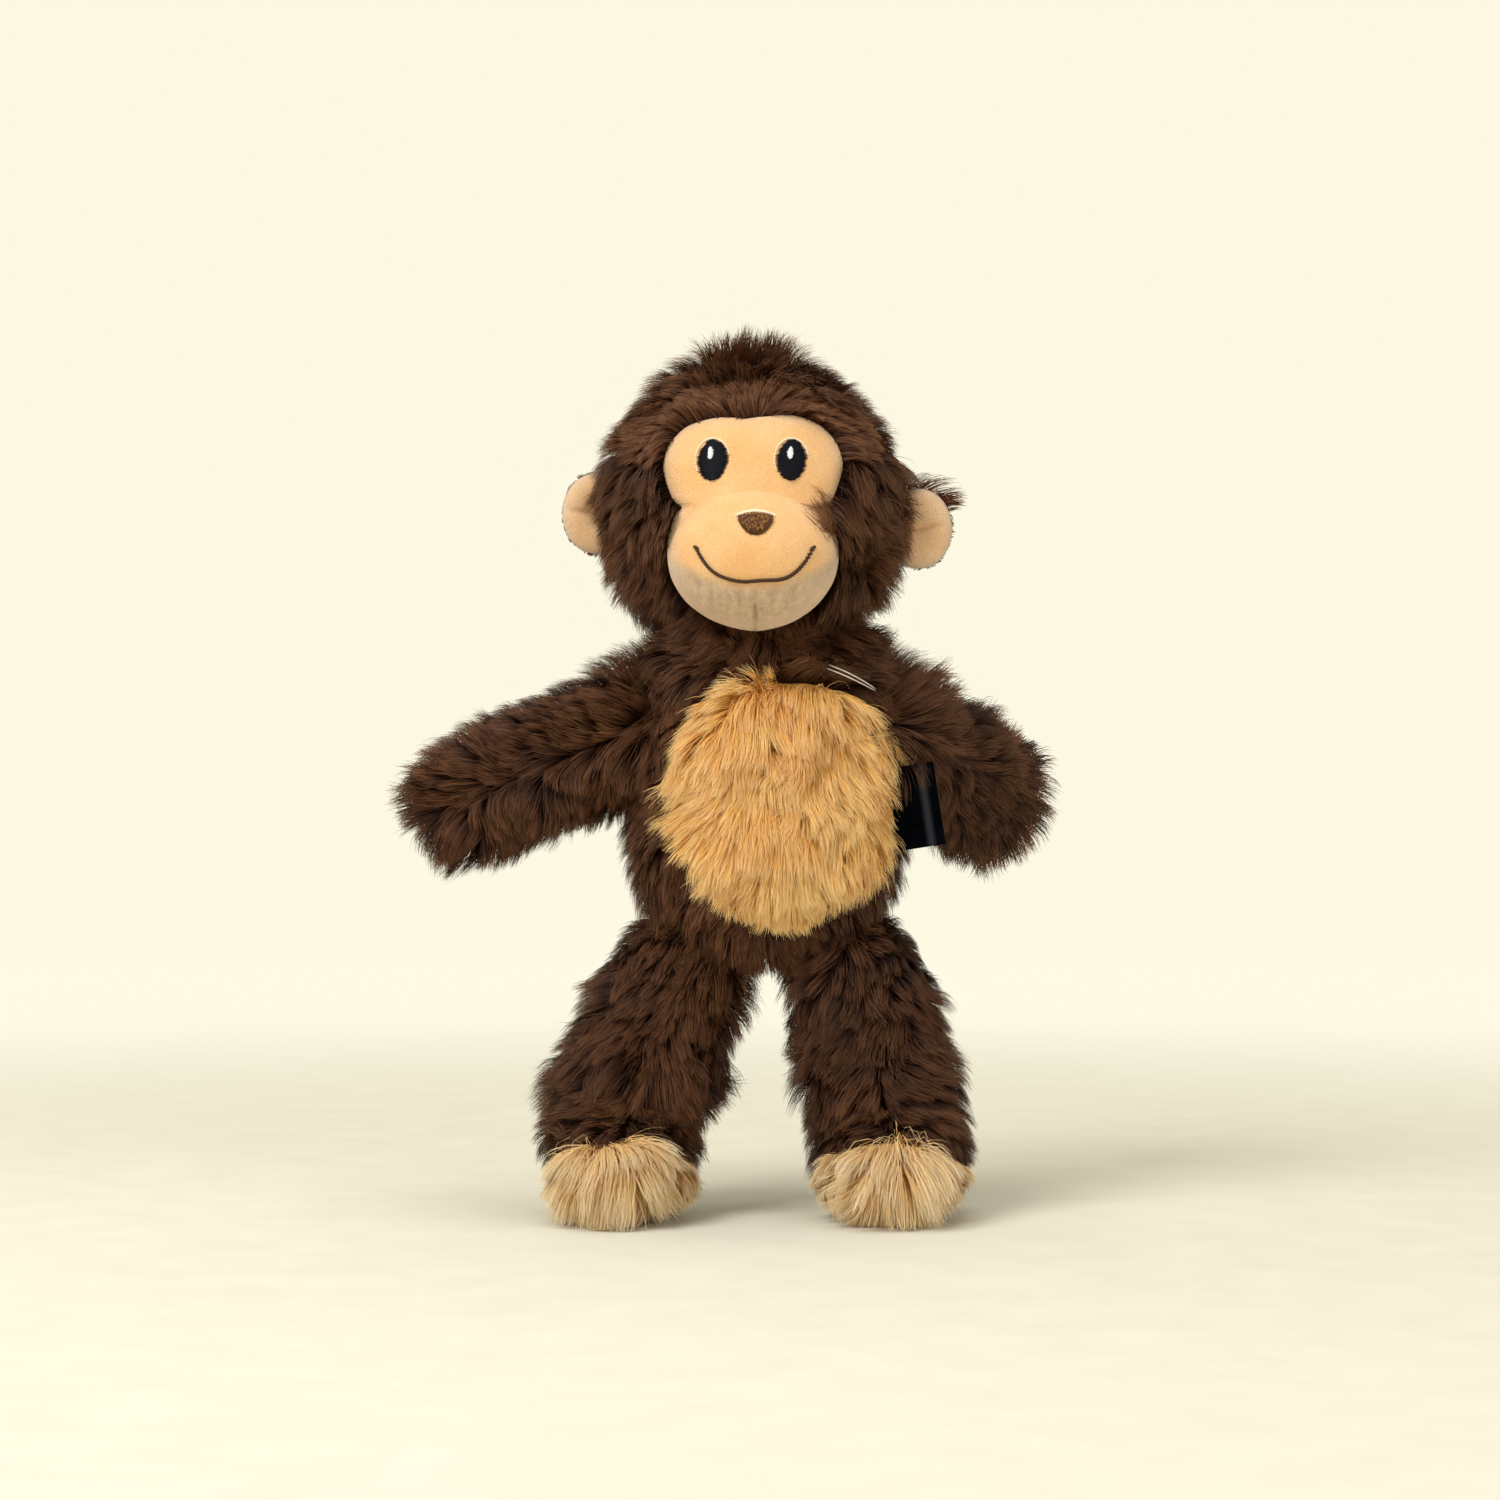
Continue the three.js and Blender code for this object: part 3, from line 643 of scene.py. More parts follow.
def muzzle_front(x, z):
    rx, ry, rz = MUZZLE["radii"]
    inside = 1 - (x / rx) ** 2 - ((z + MUZZLE["drop"]) / rz) ** 2
    return MUZZLE["forward"] + ry * np.sqrt(np.clip(inside, 0, 1)) - 14 * np.clip(-inside, 0, 1.5)


def face_front(x, z):
    """The velour's front: the head and the muzzle in one smooth run, with the creases of the seams."""
    a, b = head_front(x, z) + 1.2, muzzle_front(x, z)
    run = 5.0
    together = run * np.log(np.exp(a / run) + np.exp(b / run)) - 0.8
    dart = np.exp(-(((x - DART_X) / 0.6) ** 2)) * smooth(-37.0, -40.5, z) * 2.4
    dimple = 1.1 * np.exp(-(((x - DART_X) / 3.5) ** 2)) * smooth(-34.0, -44.0, z)
    inwards = smooth(15, 25, np.abs(x))
    crease = np.exp(-(((z - CREASE_Z) / 1.5) ** 2)) * inwards * 1.7
    return together - dart - dimple - crease


def build_face():
    """The velour face, as fine as its nap needs, rolled under at its edge."""
    turns = np.linspace(0, 2 * math.pi, FACE_GRID["round"], endpoint=False)[None, :]
    outwards = np.linspace(0, 1, FACE_GRID["out"]) ** 0.8
    out = np.concatenate([outwards, [1.015, 1.025, 1.02, 1.0]])[:, None]
    under = np.concatenate([0 * outwards, [0.7, 2.0, 4.0, 7.0]])[:, None]
    reach = face_reach(turns)
    x = FACE_MIDDLE[0] + np.cos(turns) * reach * out
    z = FACE_MIDDLE[1] + np.sin(turns) * reach * out
    edge_in = reach * (1 - np.minimum(out, 1))
    inside_x = FACE_MIDDLE[0] + np.cos(turns) * reach * np.minimum(out, 1)
    inside_z = FACE_MIDDLE[1] + np.sin(turns) * reach * np.minimum(out, 1)
    depth = face_front(inside_x, inside_z) - 1.3 * np.exp(-edge_in / 1.4) - under
    points = np.stack([x, -depth, z], -1).reshape(-1, 3) + HEAD_AT
    faces = [f[::-1] for f in grid_faces(len(out), turns.shape[1], closed=True)]
    skin = velour("face", ((247, 190, 126), (252, 204, 146)), (226, 194, 160))
    face = mesh_object("face_velour", points, faces, skin)
    # painted sheen, paler towards the edge of the face
    mark(face, "rim", np.exp(-edge_in / 3.2))
    # painted shade under the chin, darker towards the bottom of the muzzle
    mark(face, "chin_shade", smooth(-31.5, -36.5, inside_z - 0.014 * inside_x**2))
    return face


def mark(obj, name, values):
    """Gives each point of a piece a number that its material reads."""
    attribute = obj.data.attributes.new(name, "FLOAT", "POINT")
    attribute.data.foreach_set("value", values.ravel())


def velour(name, tones, edge):
    """Short brushed pile: a fine nap, blotches where stroked, painted sheen at its pale edges, painted
    shade at its chin.
    """
    m = Nodes(f"{name}_velour", Roughness=0.9, Specular_IOR_Level=0.12, Sheen_Weight=0.35,
              Sheen_Roughness=0.35)
    nap = m.noise(2300, 3)
    base = m.ramp(m.noise(75, 3), (0.3, srgb(*tones[0])), (0.7, srgb(*tones[1])))
    strands = m.noise(420, 3, stretch=(1, 1, 0.12))
    # painted shade: a darker, greyer streaked colour under the chin
    chin_shade = m.ramp(strands, (0.3, srgb(184, 156, 126)), (0.7, srgb(222, 194, 160)))
    colour = m.mix("MIX", m.attribute("chin_shade"), base, chin_shade)
    # painted sheen: the velour pales to the `edge` colour towards its rim
    edge_sheen = m.ramp(m.attribute("rim"), (0.1, BLACK), (0.9, (0.75, 0.75, 0.75)))
    colour = m.mix("MIX", edge_sheen, colour, (*srgb(*edge), 1))
    fine = m.ramp(nap, (0.3, (0.8, 0.78, 0.76)), (0.62, WHITE))
    m.colour(m.mix("MULTIPLY", 1.0, colour, fine))
    m.bump(nap, 0.7, 0.0007)
    return m.material


# ---- Embroidery ----
# Ovals of satin stitches: half width, half height, and the gap, slant and unevenness of the stitches.
EYE = {"rx": 5.0, "rz": 6.6, "gap": 0.32, "slant": 0.12, "jitter": 0.4}
GLINT = {"rx": 1.25, "rz": 1.9, "gap": 0.3, "slant": 0.3, "jitter": 0.2}
GLINT_AT = (-0.5, 2.1)  # from the middle of the eye
RIM_INNER, RIM_OUTER = (5.2, 6.8), (6.0, 7.6)  # half widths and half heights of the pale rim
NOSE_ASIDE, MOUTH_ASIDE = 1.2, 0.8
NOSE_HALF, NOSE_GAP = 5.6, 0.42


def tube(points, radius, sides=6):
    """A round thread along points, tapered at both ends."""
    points = np.asarray(points, float)
    along = unit(np.gradient(points, axis=0))
    side = unit(np.cross(along, [0.02, 1.0, 0.05]))
    up = np.cross(side, along)
    taper = np.sqrt(np.clip(1 - np.linspace(-1, 1, len(points)) ** 4, 0.05, 1))
    wall = rings(points, radius * taper, side, up, sides)
    ends = [tuple(range(sides))[::-1], tuple(len(wall) - sides + i for i in range(sides))]
    return wall, grid_faces(len(points), sides, closed=True) + ends


class Sewn:
    """Places points of a drawing in the XZ plane on the front of a surface."""

    def __init__(self, obj, middle):
        points, _, triangles = arrays(obj)
        self.tree = BVHTree.FromPolygons(points.tolist(), triangles.tolist())
        self.middle = middle

    def on(self, x, z, above=0.2):
        start = Vector((self.middle[0] + x, self.middle[1] - 200, self.middle[2] + z))
        place, normal, _, _ = self.tree.ray_cast(start, Vector((0, 1, 0)))
        if place is None:  # beside the surface
            return self.middle + [x, -face_front(x, z) - above, z]
        return np.array(place) + np.array(normal) * above

    def stitches(self, name, lines, radius, material, above=0.2, steps=6):
        """Straight stitches between pairs of drawn points."""
        tubes = []
        for (x0, z0), (x1, z1) in lines:
            spots = []
            for i in range(steps + 1):
                arch = 0.3 + math.sin(math.pi * i / steps)
                x, z = x0 + (x1 - x0) * i / steps, z0 + (z1 - z0) * i / steps
                spots.append(self.on(x, z, above * arch))
            tubes.append(tube(spots, radius))
        return mesh_object(name, *joined(*tubes), material)


def oval_fill(x, z, rng, rx, rz, gap, slant, jitter):
    """Satin stitches across an oval."""
    lines = []
    for h in np.arange(-rz + gap / 2, rz, gap):
        half = rx * math.sqrt(max(1 - (h / rz) ** 2, 0))
        a, b = rng.uniform(-jitter, jitter, 2)
        lines.append(((x - half + a, z + h - slant * half), (x + half + b, z + h + slant * half)))
    return lines


def on_face(node):
    """Where the middle of a CAD node is, from the middle of the head."""
    low, high = union_box(node)
    return (low + high)[0] / 2 - FACE_X, (low + high)[2] / 2 - FACE_Z


def sew_eye(sewn, side, rng):
    """A dark eye, its white glint, and a thin pale rim over it and beside it."""
    x, z = on_face(f"{side}_eye_thread")
    eye = sewn.stitches(f"{side}_eye", oval_fill(x, z, rng, **EYE), 0.26, NAVY_THREAD, 0.5)
    lines = oval_fill(x + GLINT_AT[0], z + GLINT_AT[1], rng, **GLINT)
    glint = sewn.stitches(f"{side}_glint", lines, 0.2, WHITE_THREAD, 1.0, 4)
    lines = []
    for t in np.linspace(0.3, 3.6, 34):
        ends = [(x + rx * math.cos(t), z + rz * math.sin(t)) for rx, rz in (RIM_INNER, RIM_OUTER)]
        lines.append(ends)
    rim = sewn.stitches(f"{side}_rim", lines, 0.3, CREAM_THREAD, 0.2, 3)
    return [(eye, f"{side}_eye_thread"), (glint, f"{side}_eye_glint"), (rim, f"{side}_eye_rim")]


def sew_nose(sewn, rng):
    """The nose, gold thread flecks over it as painted highlights, and a pale line along its top."""
    x, z = on_face("nose_thread")
    x += NOSE_ASIDE
    fill, flecks = nose_fill(x, z, rng)
    nose = sewn.stitches("nose", fill, 0.26, NOSE_THREAD, 0.7, 5)
    highlight = sewn.stitches("nose_highlight", flecks, 0.2, NOSE_HIGHLIGHT, 1.15, 4)
    lines = []
    for u in np.arange(-NOSE_HALF - 0.6, NOSE_HALF + 0.7, NOSE_GAP):
        lines.append(((x + u, z + 3.4 - 0.035 * u * u), (x + u * 1.06, z + 4.6 - 0.045 * u * u)))
    rim = sewn.stitches("nose_rim", lines, 0.26, CREAM_THREAD, 0.12, 3)
    return [(piece, "nose_thread") for piece in (nose, highlight, rim)]


def sew_mouth(sewn):
    """The smile, with a short stitch across each end of it."""
    low, high = union_box("mouth_thread")
    half = (high - low)[0] / 2
    x, top = (low + high)[0] / 2 - FACE_X + MOUTH_ASIDE, high[2] - FACE_Z
    lines = smile(x, low[2] - FACE_Z + 0.8, top, half)
    for way in SIDES.values():
        corner = x + way * half
        lines.append(((corner - 0.9, top - way * 0.5), (corner + 0.9, top + way * 0.5)))
    return [(sewn.stitches("mouth", lines, 0.56, MOUTH_THREAD, 0.4, 4), "mouth_thread")]


def sew_features(face):
    """Eyes, nose and mouth, stitched through the velour."""
    rng = np.random.default_rng(7)
    sewn = Sewn(face, HEAD_AT)
    made = [pair for side in SIDES for pair in sew_eye(sewn, side, rng)]
    made += sew_nose(sewn, rng) + sew_mouth(sewn)
    for obj, node in made:
        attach(obj, "head")
        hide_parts(node)


def stray_lock(face):
    """A lock of the cheek's pile that has strayed over the pinch beside the toy's left eye."""
    rng = np.random.default_rng(17)
    sewn = Sewn(face, HEAD_AT)
    roots_at, tips_at = (27.0, -14.0), np.array((19.5, -6.0))
    fibres = []
    for _ in range(260):
        start = rng.normal(roots_at, (1.3, 2.4))
        spread_out = rng.normal(0, 1, 2) * (2.4, 2.6)
        tip = tips_at + spread_out + (start - roots_at) * 0.5
        tip = start + (tip - start) * rng.uniform(0.35, 1.1)
        bend = rng.normal(0, 1.1)
        height = rng.uniform(0.4, 2.2)
        spots = []
        for t in UP_FIBRE:
            x, z = start + (tip - start) * t + np.array((1, 0.8)) * bend * math.sin(math.pi * t)
            spots.append(sewn.on(x, z, -0.6 + height * math.sin(math.pi * (0.12 + 0.7 * t))))
        fibres.append(spots)
    middles = np.array(fibres)
    half = 0.13 * rng.uniform(0.7, 1.2, len(middles))
    across = unit(np.cross(unit(np.gradient(middles, axis=1)), [0.1, -1.0, 0.1]))
    cell = rng.integers(int(0.5 * TONES), TONES, len(middles))
    lock = ribbons("head_stray_lock_fur", middles, across, half, cell, BROW_PILE)
    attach(lock, "head")


def nose_fill(x, z, rng):
    """Long crossing stitches inside a rounded triangle, wide at the top, and short flecks over them."""
    fill, flecks = [], []
    for slant in (-0.12, 0.16, 0.0):
        for u in np.arange(-NOSE_HALF, NOSE_HALF + 0.1, NOSE_GAP):
            top = 3.3 - 0.035 * u * u
            bottom = -4.1 + 0.095 * abs(u) ** 2.2
            lean = slant * (top - bottom) / 2
            a, b = rng.uniform(-0.2, 0.2, 2)
            fill.append(((x + u * 0.92 - lean, z + bottom + a), (x + u * 0.98 + lean, z + top + b)))
    for _ in range(46):
        u, v = rng.uniform(-4.4, 4.4), rng.uniform(-2.6, 2.6)
        turn, half = rng.uniform(0.3, 2.8), rng.uniform(0.4, 0.9)
        du, dv = half * math.cos(turn), half * math.sin(turn)
        if v - dv > -3.6 + 0.1 * abs(u) ** 2.2:
            flecks.append(((x + u - du, z + v - dv), (x + u + du, z + v + dv)))
    return fill, flecks


def smile(x, low, high, half):
    """A line of short slanted stitches along a wide curve that is flat below and steep at its ends."""
    t = np.linspace(-1, 1, 48)
    across = x + half * (t + 0.12 * np.sin(math.pi * t) / math.pi)
    height = low + (high - low) * np.abs(t) ** 3.2 + 0.25 * np.sin(9 * t) * (1 - np.abs(t))
    slant = 0.34
    starts = zip(across[:-1] - slant, height[:-1] + slant)
    ends = zip(across[1:] + slant, height[1:] - slant)
    return list(zip(starts, ends))


# ---- Build ----
def off_face(p):
    """Where the head's plush shows: behind the face or round it."""
    q = p - HEAD_AT
    return (q[:, 1] > -12) | (face_margin(q[:, 0], q[:, 2]) < 0.8)


def in_brow(p):
    """Where the pile over the face is short."""
    q = p - HEAD_AT
    edge = BROW["height"] - BROW["arch"] * q[:, 0] ** 2
    return (q[:, 1] < -8) & (q[:, 2] > 8) & (q[:, 2] < edge) & (np.abs(q[:, 0]) < BROW["half"])


def sew_head():
    """The head cover, its face, and its pile in five panels."""
    def seams(p):
        q = p - HEAD_AT
        over = np.abs(q[:, 1] - HEAD_SEAM_Y)
        middle = np.where(q[:, 1] > HEAD_SEAM_Y, np.abs(q[:, 0]), NO_SEAM)
        return np.minimum(over, middle)

    skin = stuff("head_backing", stuffed_form(HEAD, HEAD_AT), seams, BROWN_BACKING, cap=2.0)
    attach(skin, "head")
    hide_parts("head_stuffing", "muzzle_stuffing")
    face = build_face()
    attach(face, "head")
    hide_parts("face_panel", "muzzle_panel")
    sew_features(face)
    stray_lock(face)
    pieces = [grow_crown(skin), grow_brow(skin)]
    for side in SIDES:
        pieces += grow_side(skin, side)
    for piece in pieces:
        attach(piece, "head")


def grow_crown(skin):
    """Pile that fans out from the top of the head."""
    def from_top(p):
        return np.linalg.norm((p - HEAD_TOP)[:, :2], axis=1)

    def keep(p, n):
        return off_face(p) & ~in_brow(p) & ((p - HEAD_AT)[:, 2] > CROWN_FOOT)

    def flow(p, n):
        away = unit(p - HEAD_TOP) * smooth(2, 30, from_top(p))[:, None]
        fringe = smooth(-14, -30, (p - HEAD_AT)[:, 1])[:, None] * [0, -0.1, 0.7]
        return away + fringe + [0, 0, 0.35]

    def length(p):
        return 11.5 + 3.0 * smooth(20, 4, from_top(p)) - 2.5 * smooth(18, 40, (p - HEAD_AT)[:, 0])

    def lift(p):
        return 0.7 + 1.1 * smooth(22, 4, from_top(p))

    return plush("head_crown_fur", skin, BROWN, keep, flow, length, seed=11, lift=lift, **CROWN_PILE)


def grow_brow(skin):
    """Short pile that parts over the middle of the face."""
    def keep(p, n):
        return off_face(p) & in_brow(p)

    def flow(p, n):
        x = (p - HEAD_AT)[:, 0]
        return vectors(np.clip(x / 6, -1, 1), 0, 0.75 - 0.03 * np.abs(x))

    return plush("head_brow_fur", skin, BROW_PILE, keep, flow, 8.0, seed=12, node="head_brow_panel",
                 **SHORT_PILE)


def grow_side(skin, side):
    """A cheek panel and a back panel, whose pile hangs down."""
    way = SIDES[side]

    def keep(p):
        q = p - HEAD_AT
        return off_face(p) & ~in_brow(p) & (q[:, 2] <= CROWN_FOOT) & (q[:, 0] * way >= 0)

    def flow(p, n):
        q = p - HEAD_AT
        beside = smooth(9, 2, -face_margin(q[:, 0], q[:, 2])) * (q[:, 1] < 0)
        out = np.sign(q[:, 0]) * (0.8 - 0.7 * smooth(-24, -42, q[:, 2]) - 0.75 * beside)
        return vectors(out, 0.25 * smooth(-20, 10, q[:, 1]), -1.0)

    def length(p):
        q = p - HEAD_AT
        by_face = smooth(-6, 4, -face_margin(q[:, 0], q[:, 2])) * (q[:, 1] < 0) + (q[:, 1] >= 0)
        return 9.0 + 4.5 * by_face

    cheek = plush(f"head_{side}_cheek_fur", skin, BROWN,
                  lambda p, n: keep(p) & ((p - HEAD_AT)[:, 1] < HEAD_SEAM_Y), flow, length,
                  seed=20 + way, node=f"head_{side}_cheek_panel")
    back = plush(f"head_back_{side}_fur", skin, BROWN,
                 lambda p, n: keep(p) & ((p - HEAD_AT)[:, 1] >= HEAD_SEAM_Y), flow, 13.5,
                 seed=24 + way, node=f"head_back_{side}_panel")
    return [cheek, back]


def belly_share(p):
    """How far out a place is in the belly patch: 0 at its middle and 1 at its edge."""
    q = p - BELLY_AT
    half = BELLY["rx"] * (1 - BELLY["narrow"] * smooth(0, -BELLY["rz"], q[:, 2]))
    power = np.where(q[:, 2] > 0, BELLY["blunt"], 2)
    return np.abs(q[:, 0] / half) ** power + np.abs(q[:, 2] / BELLY["rz"]) ** power


def on_belly(p, n):
    return (belly_share(p) < 1) & (n[:, 1] < 0.05)


def sew_torso():
    """The torso cover, its belly patch and its pile in three panels."""
    def seams(p):
        q = p - TORSO_AT
        sides = np.abs(q[:, 1])
        spine = np.where(q[:, 1] > 0, np.abs(q[:, 0]), NO_SEAM)
        edge = np.where(q[:, 1] < 0, np.abs(np.sqrt(belly_share(p)) - 1) * BELLY["rx"], NO_SEAM)
        return np.minimum(np.minimum(sides, spine), edge)

    skin = stuff("torso_backing", stuffed_form(TORSO, TORSO_AT), seams, BROWN_BACKING, cap=2.5)
    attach(skin, "torso")
    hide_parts("torso_stuffing")
    sew_neck()
    patch_backing(skin, on_belly, TAN_BACKING)
    for piece in [grow_belly(skin)] + grow_body(skin):
        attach(piece, "torso")


def sew_neck():
    """The neck, with a collar of pile that joins head and torso."""
    neck = mesh_object("neck_backing", *stuffed_form(NECK, NECK_AT, 16, 32), BROWN_BACKING)
    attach(neck, "neck")
    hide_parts("neck_stuffing")
    collar = plush("neck_fur", neck, BROWN, lambda p, n: np.abs(p[:, 2] - NECK_AT[2]) < 13,
                   lambda p, n: n + [0, 0, -0.8], 12.0, seed=35, lift=0.9)
    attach(collar, "neck")


def grow_belly(skin):
    """Long pale pile that hangs down the belly, with a tuft at its upper edge."""
    def flow(p, n):
        q = p - BELLY_AT
        fan = (q - [3, 0, 0]) * [0.026, 0, 0]
        tuft = smooth(16, 8, np.abs(q[:, 0] + 13)) * smooth(BELLY["rz"] - 7, BELLY["rz"] - 2, q[:, 2])
        return np.array([0, 0, -1.0]) + fan + tuft[:, None] * [-0.3, -1.0, 2.2]

    def length(p):
        return 14.0 - 5.5 * smooth(-18, -38, (p - BELLY_AT)[:, 2])

    return plush("belly_fur", skin, TAN, on_belly, flow, length, seed=31, node="belly_patch",
                 slot="tan_plush", **BELLY_PILE)


def grow_body(skin):
    """The brown pile of the torso: it hangs down, away from the belly, and climbs over the shoulders."""
    def shoulder(p):
        q = p - TORSO_AT
        return smooth(34, 50, q[:, 2]) * smooth(10, 24, np.abs(q[:, 0]))

    def beside_belly(p):
        return smooth(1.6, 1.05, belly_share(p)) * (p[:, 1] < TORSO_AT[1])

    def flow(p, n):
        way = np.sign((p - TORSO_AT)[:, 0])
        away = unit((p - BELLY_AT) * [1, 0, 1]) * (1.3 * beside_belly(p))[:, None]
        upwards = vectors(way * 0.8, 0, 1.6) * shoulder(p)[:, None]
        return vectors(way * 0.55, 0, -1.0) + away + upwards

    def length(p):
        return 13.0 - 4.0 * beside_belly(p) + 3.5 * shoulder(p)

    panels = (
        ("torso_front", lambda p, n: (belly_share(p) >= 1) & (p[:, 1] < TORSO_AT[1])),
        ("torso_back_left", lambda p, n: (p[:, 1] >= TORSO_AT[1]) & (p[:, 0] > TORSO_AT[0])),
        ("torso_back_right", lambda p, n: (p[:, 1] >= TORSO_AT[1]) & (p[:, 0] <= TORSO_AT[0])),
    )
    return [
        plush(f"{name}_fur", skin, BROWN, keep, flow, length, seed=40 + len(name), node=f"{name}_panel")
        for name, keep in panels
    ]


def sew_arm(side):
    """An arm: an upper and a lower panel that part along the middle of the front."""
    way = SIDES[side]
    root = joint_at(f"{side}_shoulder_raise")
    low, high = union_box(f"{side}_arm_stuffing")
    span = np.array([
        (high[0] if way > 0 else low[0]) - root[0],
        (high[1] if abs(high[1] - root[1]) > abs(low[1] - root[1]) else low[1]) - root[1],
        low[2] - root[2],
    ])
    inner = ARM_RADII[2] - 2.8
    tip = root + np.sign(span) * np.maximum(np.abs(span) - inner, 0)
    along = unit(tip - root)
    end = tip + along * (ARM_RADII[2] - 1.5)
    start = root - along * ARM_RADII[0] * 0.8
    middle = (start + end) / 2 + [0, 0, 1.5]
    up = unit(np.array([0, 0, 1.0]) - along * along[2])

    def across(p):
        return (p - root) @ up

    skin = stuff(f"{side}_arm_backing", limb_form([start, middle, end], ARM_RADII),
                 lambda p: np.abs(across(p)), BROWN_BACKING, cap=2.0)
    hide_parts(f"{side}_arm_stuffing")

    def flow(p, n):
        by_tip = smooth(48, 66, reach(p))[:, None]
        apart = np.sign(across(p))[:, None] * up * (0.95 - 0.5 * by_tip)
        return apart * smooth(0, 5, np.abs(across(p)))[:, None] + along * (0.75 + 0.4 * by_tip)

    def reach(p):
        return (p - root) @ along

    def length(p):
        top = TOP_GROWTH[side] * smooth(2, 12, across(p)) * smooth(60, 45, reach(p))
        return 12.5 + TIP_GROWTH[side] * smooth(50, 72, reach(p)) + 3.0 * smooth(18, 2, reach(p)) + top

    def lift(p):
        return 1.0 + 0.4 * smooth(18, 2, reach(p))

    pieces = [skin]
    for k, (name, sign) in enumerate((("upper", 1), ("lower", -1))):
        pieces.append(plush(f"{side}_arm_{name}_fur", skin, BROWN, lambda p, n: across(p) * sign >= 0, flow,
                            length, seed=60 + 2 * k + way, node=f"{side}_arm_{name}_panel", lift=lift,
                            tone=ARM_TONE))
    for piece in pieces:
        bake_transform(piece)


def sew_leg(side):
    """A leg: an outer and an inner panel that part down the front, and a sole that climbs over the toes."""
    way = SIDES[side]
    hip = joint_at(f"{side}_hip_swing")
    low, high = union_box(f"{side}_sole")
    ankle = np.array([(low + high)[0] / 2, hip[1] + 1, 25.0])
    along = unit(ankle - hip)
    foot_at = np.array([ankle[0], ankle[1] - FOOT["toe"], FOOT["height"]])
    foot = {"width": FOOT["radii"][0], "depth": FOOT["radii"][1], "up": FOOT["radii"][2],
            "down": FOOT["radii"][2], "top_curve": 2, "bottom_curve": 1.25}
    outwards = unit(np.array([-along[2], 0, along[0]])) * way
    shin = (hip + ankle) / 2 + outwards * SHIN_BOW[side]
    shank = limb_form([hip - along * 14, shin, ankle + along * 16], LEG_RADII)

    def to_sole(p):
        q = p - foot_at
        share = (FOOT["radii"][1] - q[:, 1]) / (2 * FOOT["radii"][1])
        return p[:, 2] - (SOLE["heel"] + (SOLE["toe"] - SOLE["heel"]) * np.clip(share, 0, 1))

    def across(p):
        return (p - hip) @ outwards

    def seams(p):
        return np.minimum(np.where(to_sole(p) > 0, np.abs(across(p)), NO_SEAM), np.abs(to_sole(p)))

    skin = stuff(f"{side}_leg_backing", joined(shank, stuffed_form(foot, foot_at, 24, 40)), seams,
                 BROWN_BACKING, floor=FLOOR, cap=2.0)
    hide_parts(f"{side}_leg_stuffing")

    def flow(p, n):
        part = np.sign(across(p))[:, None] * outwards * smooth(0, 6, np.abs(across(p)))[:, None] * 0.85
        by_sole = smooth(16, 4, to_sole(p))[:, None]
        return part * (1 - 0.2 * by_sole) * (1 - 0.7 * by_hip(p)[:, None]) + along * (1 - 0.35 * by_sole)

    def by_hip(p):
        return smooth(16, 2, (p - hip) @ along) * smooth(0, 8, across(p))

    def leg_length(p):
        flare = ANKLE_FLARE[side] * smooth(36, 42, p[:, 2]) * smooth(62, 50, p[:, 2])
        return 12.5 - 3.0 * smooth(12, 2, to_sole(p)) - 4.0 * by_hip(p) + flare

    def leg_lift(p):
        return 1.0 - 0.45 * smooth(12, 2, to_sole(p))

    def sole_flow(p, n):
        return vectors((p - foot_at)[:, 0] * 0.04, -0.55, -1.0)

    def sole_length(p):
        from_middle = np.abs((p - foot_at)[:, 0] + SPLAY[side])
        return 6.0 + (19.0 - 15.0 * smooth(2, 18, from_middle)) * smooth(3, 14, p[:, 2])

    def sole_lift(p):
        return 0.3 + 0.4 * smooth(0, -9, to_sole(p))

    patch_backing(skin, lambda p, n: to_sole(p) <= 0, TAN_BACKING)

    pieces = [skin]
    for k, (name, sign) in enumerate((("outer", 1), ("inner", -1))):
        pieces.append(plush(f"{side}_leg_{name}_fur", skin, BROWN,
                            lambda p, n: (across(p) * sign >= 0) & (to_sole(p) > 0) & (p[:, 2] > 3),
                            flow, leg_length, seed=80 + 2 * k + way, node=f"{side}_leg_{name}_panel",
                            lift=leg_lift, tone=LEG_TONE[side]))
    pieces.append(plush(f"{side}_sole_fur", skin, SOLE_PILE, lambda p, n: to_sole(p) <= 0, sole_flow,
                        sole_length, seed=90 + way, node=f"{side}_sole", slot="tan_plush",
                        lift=sole_lift, **SOFT_SOLE))
    for piece in pieces:
        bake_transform(piece)


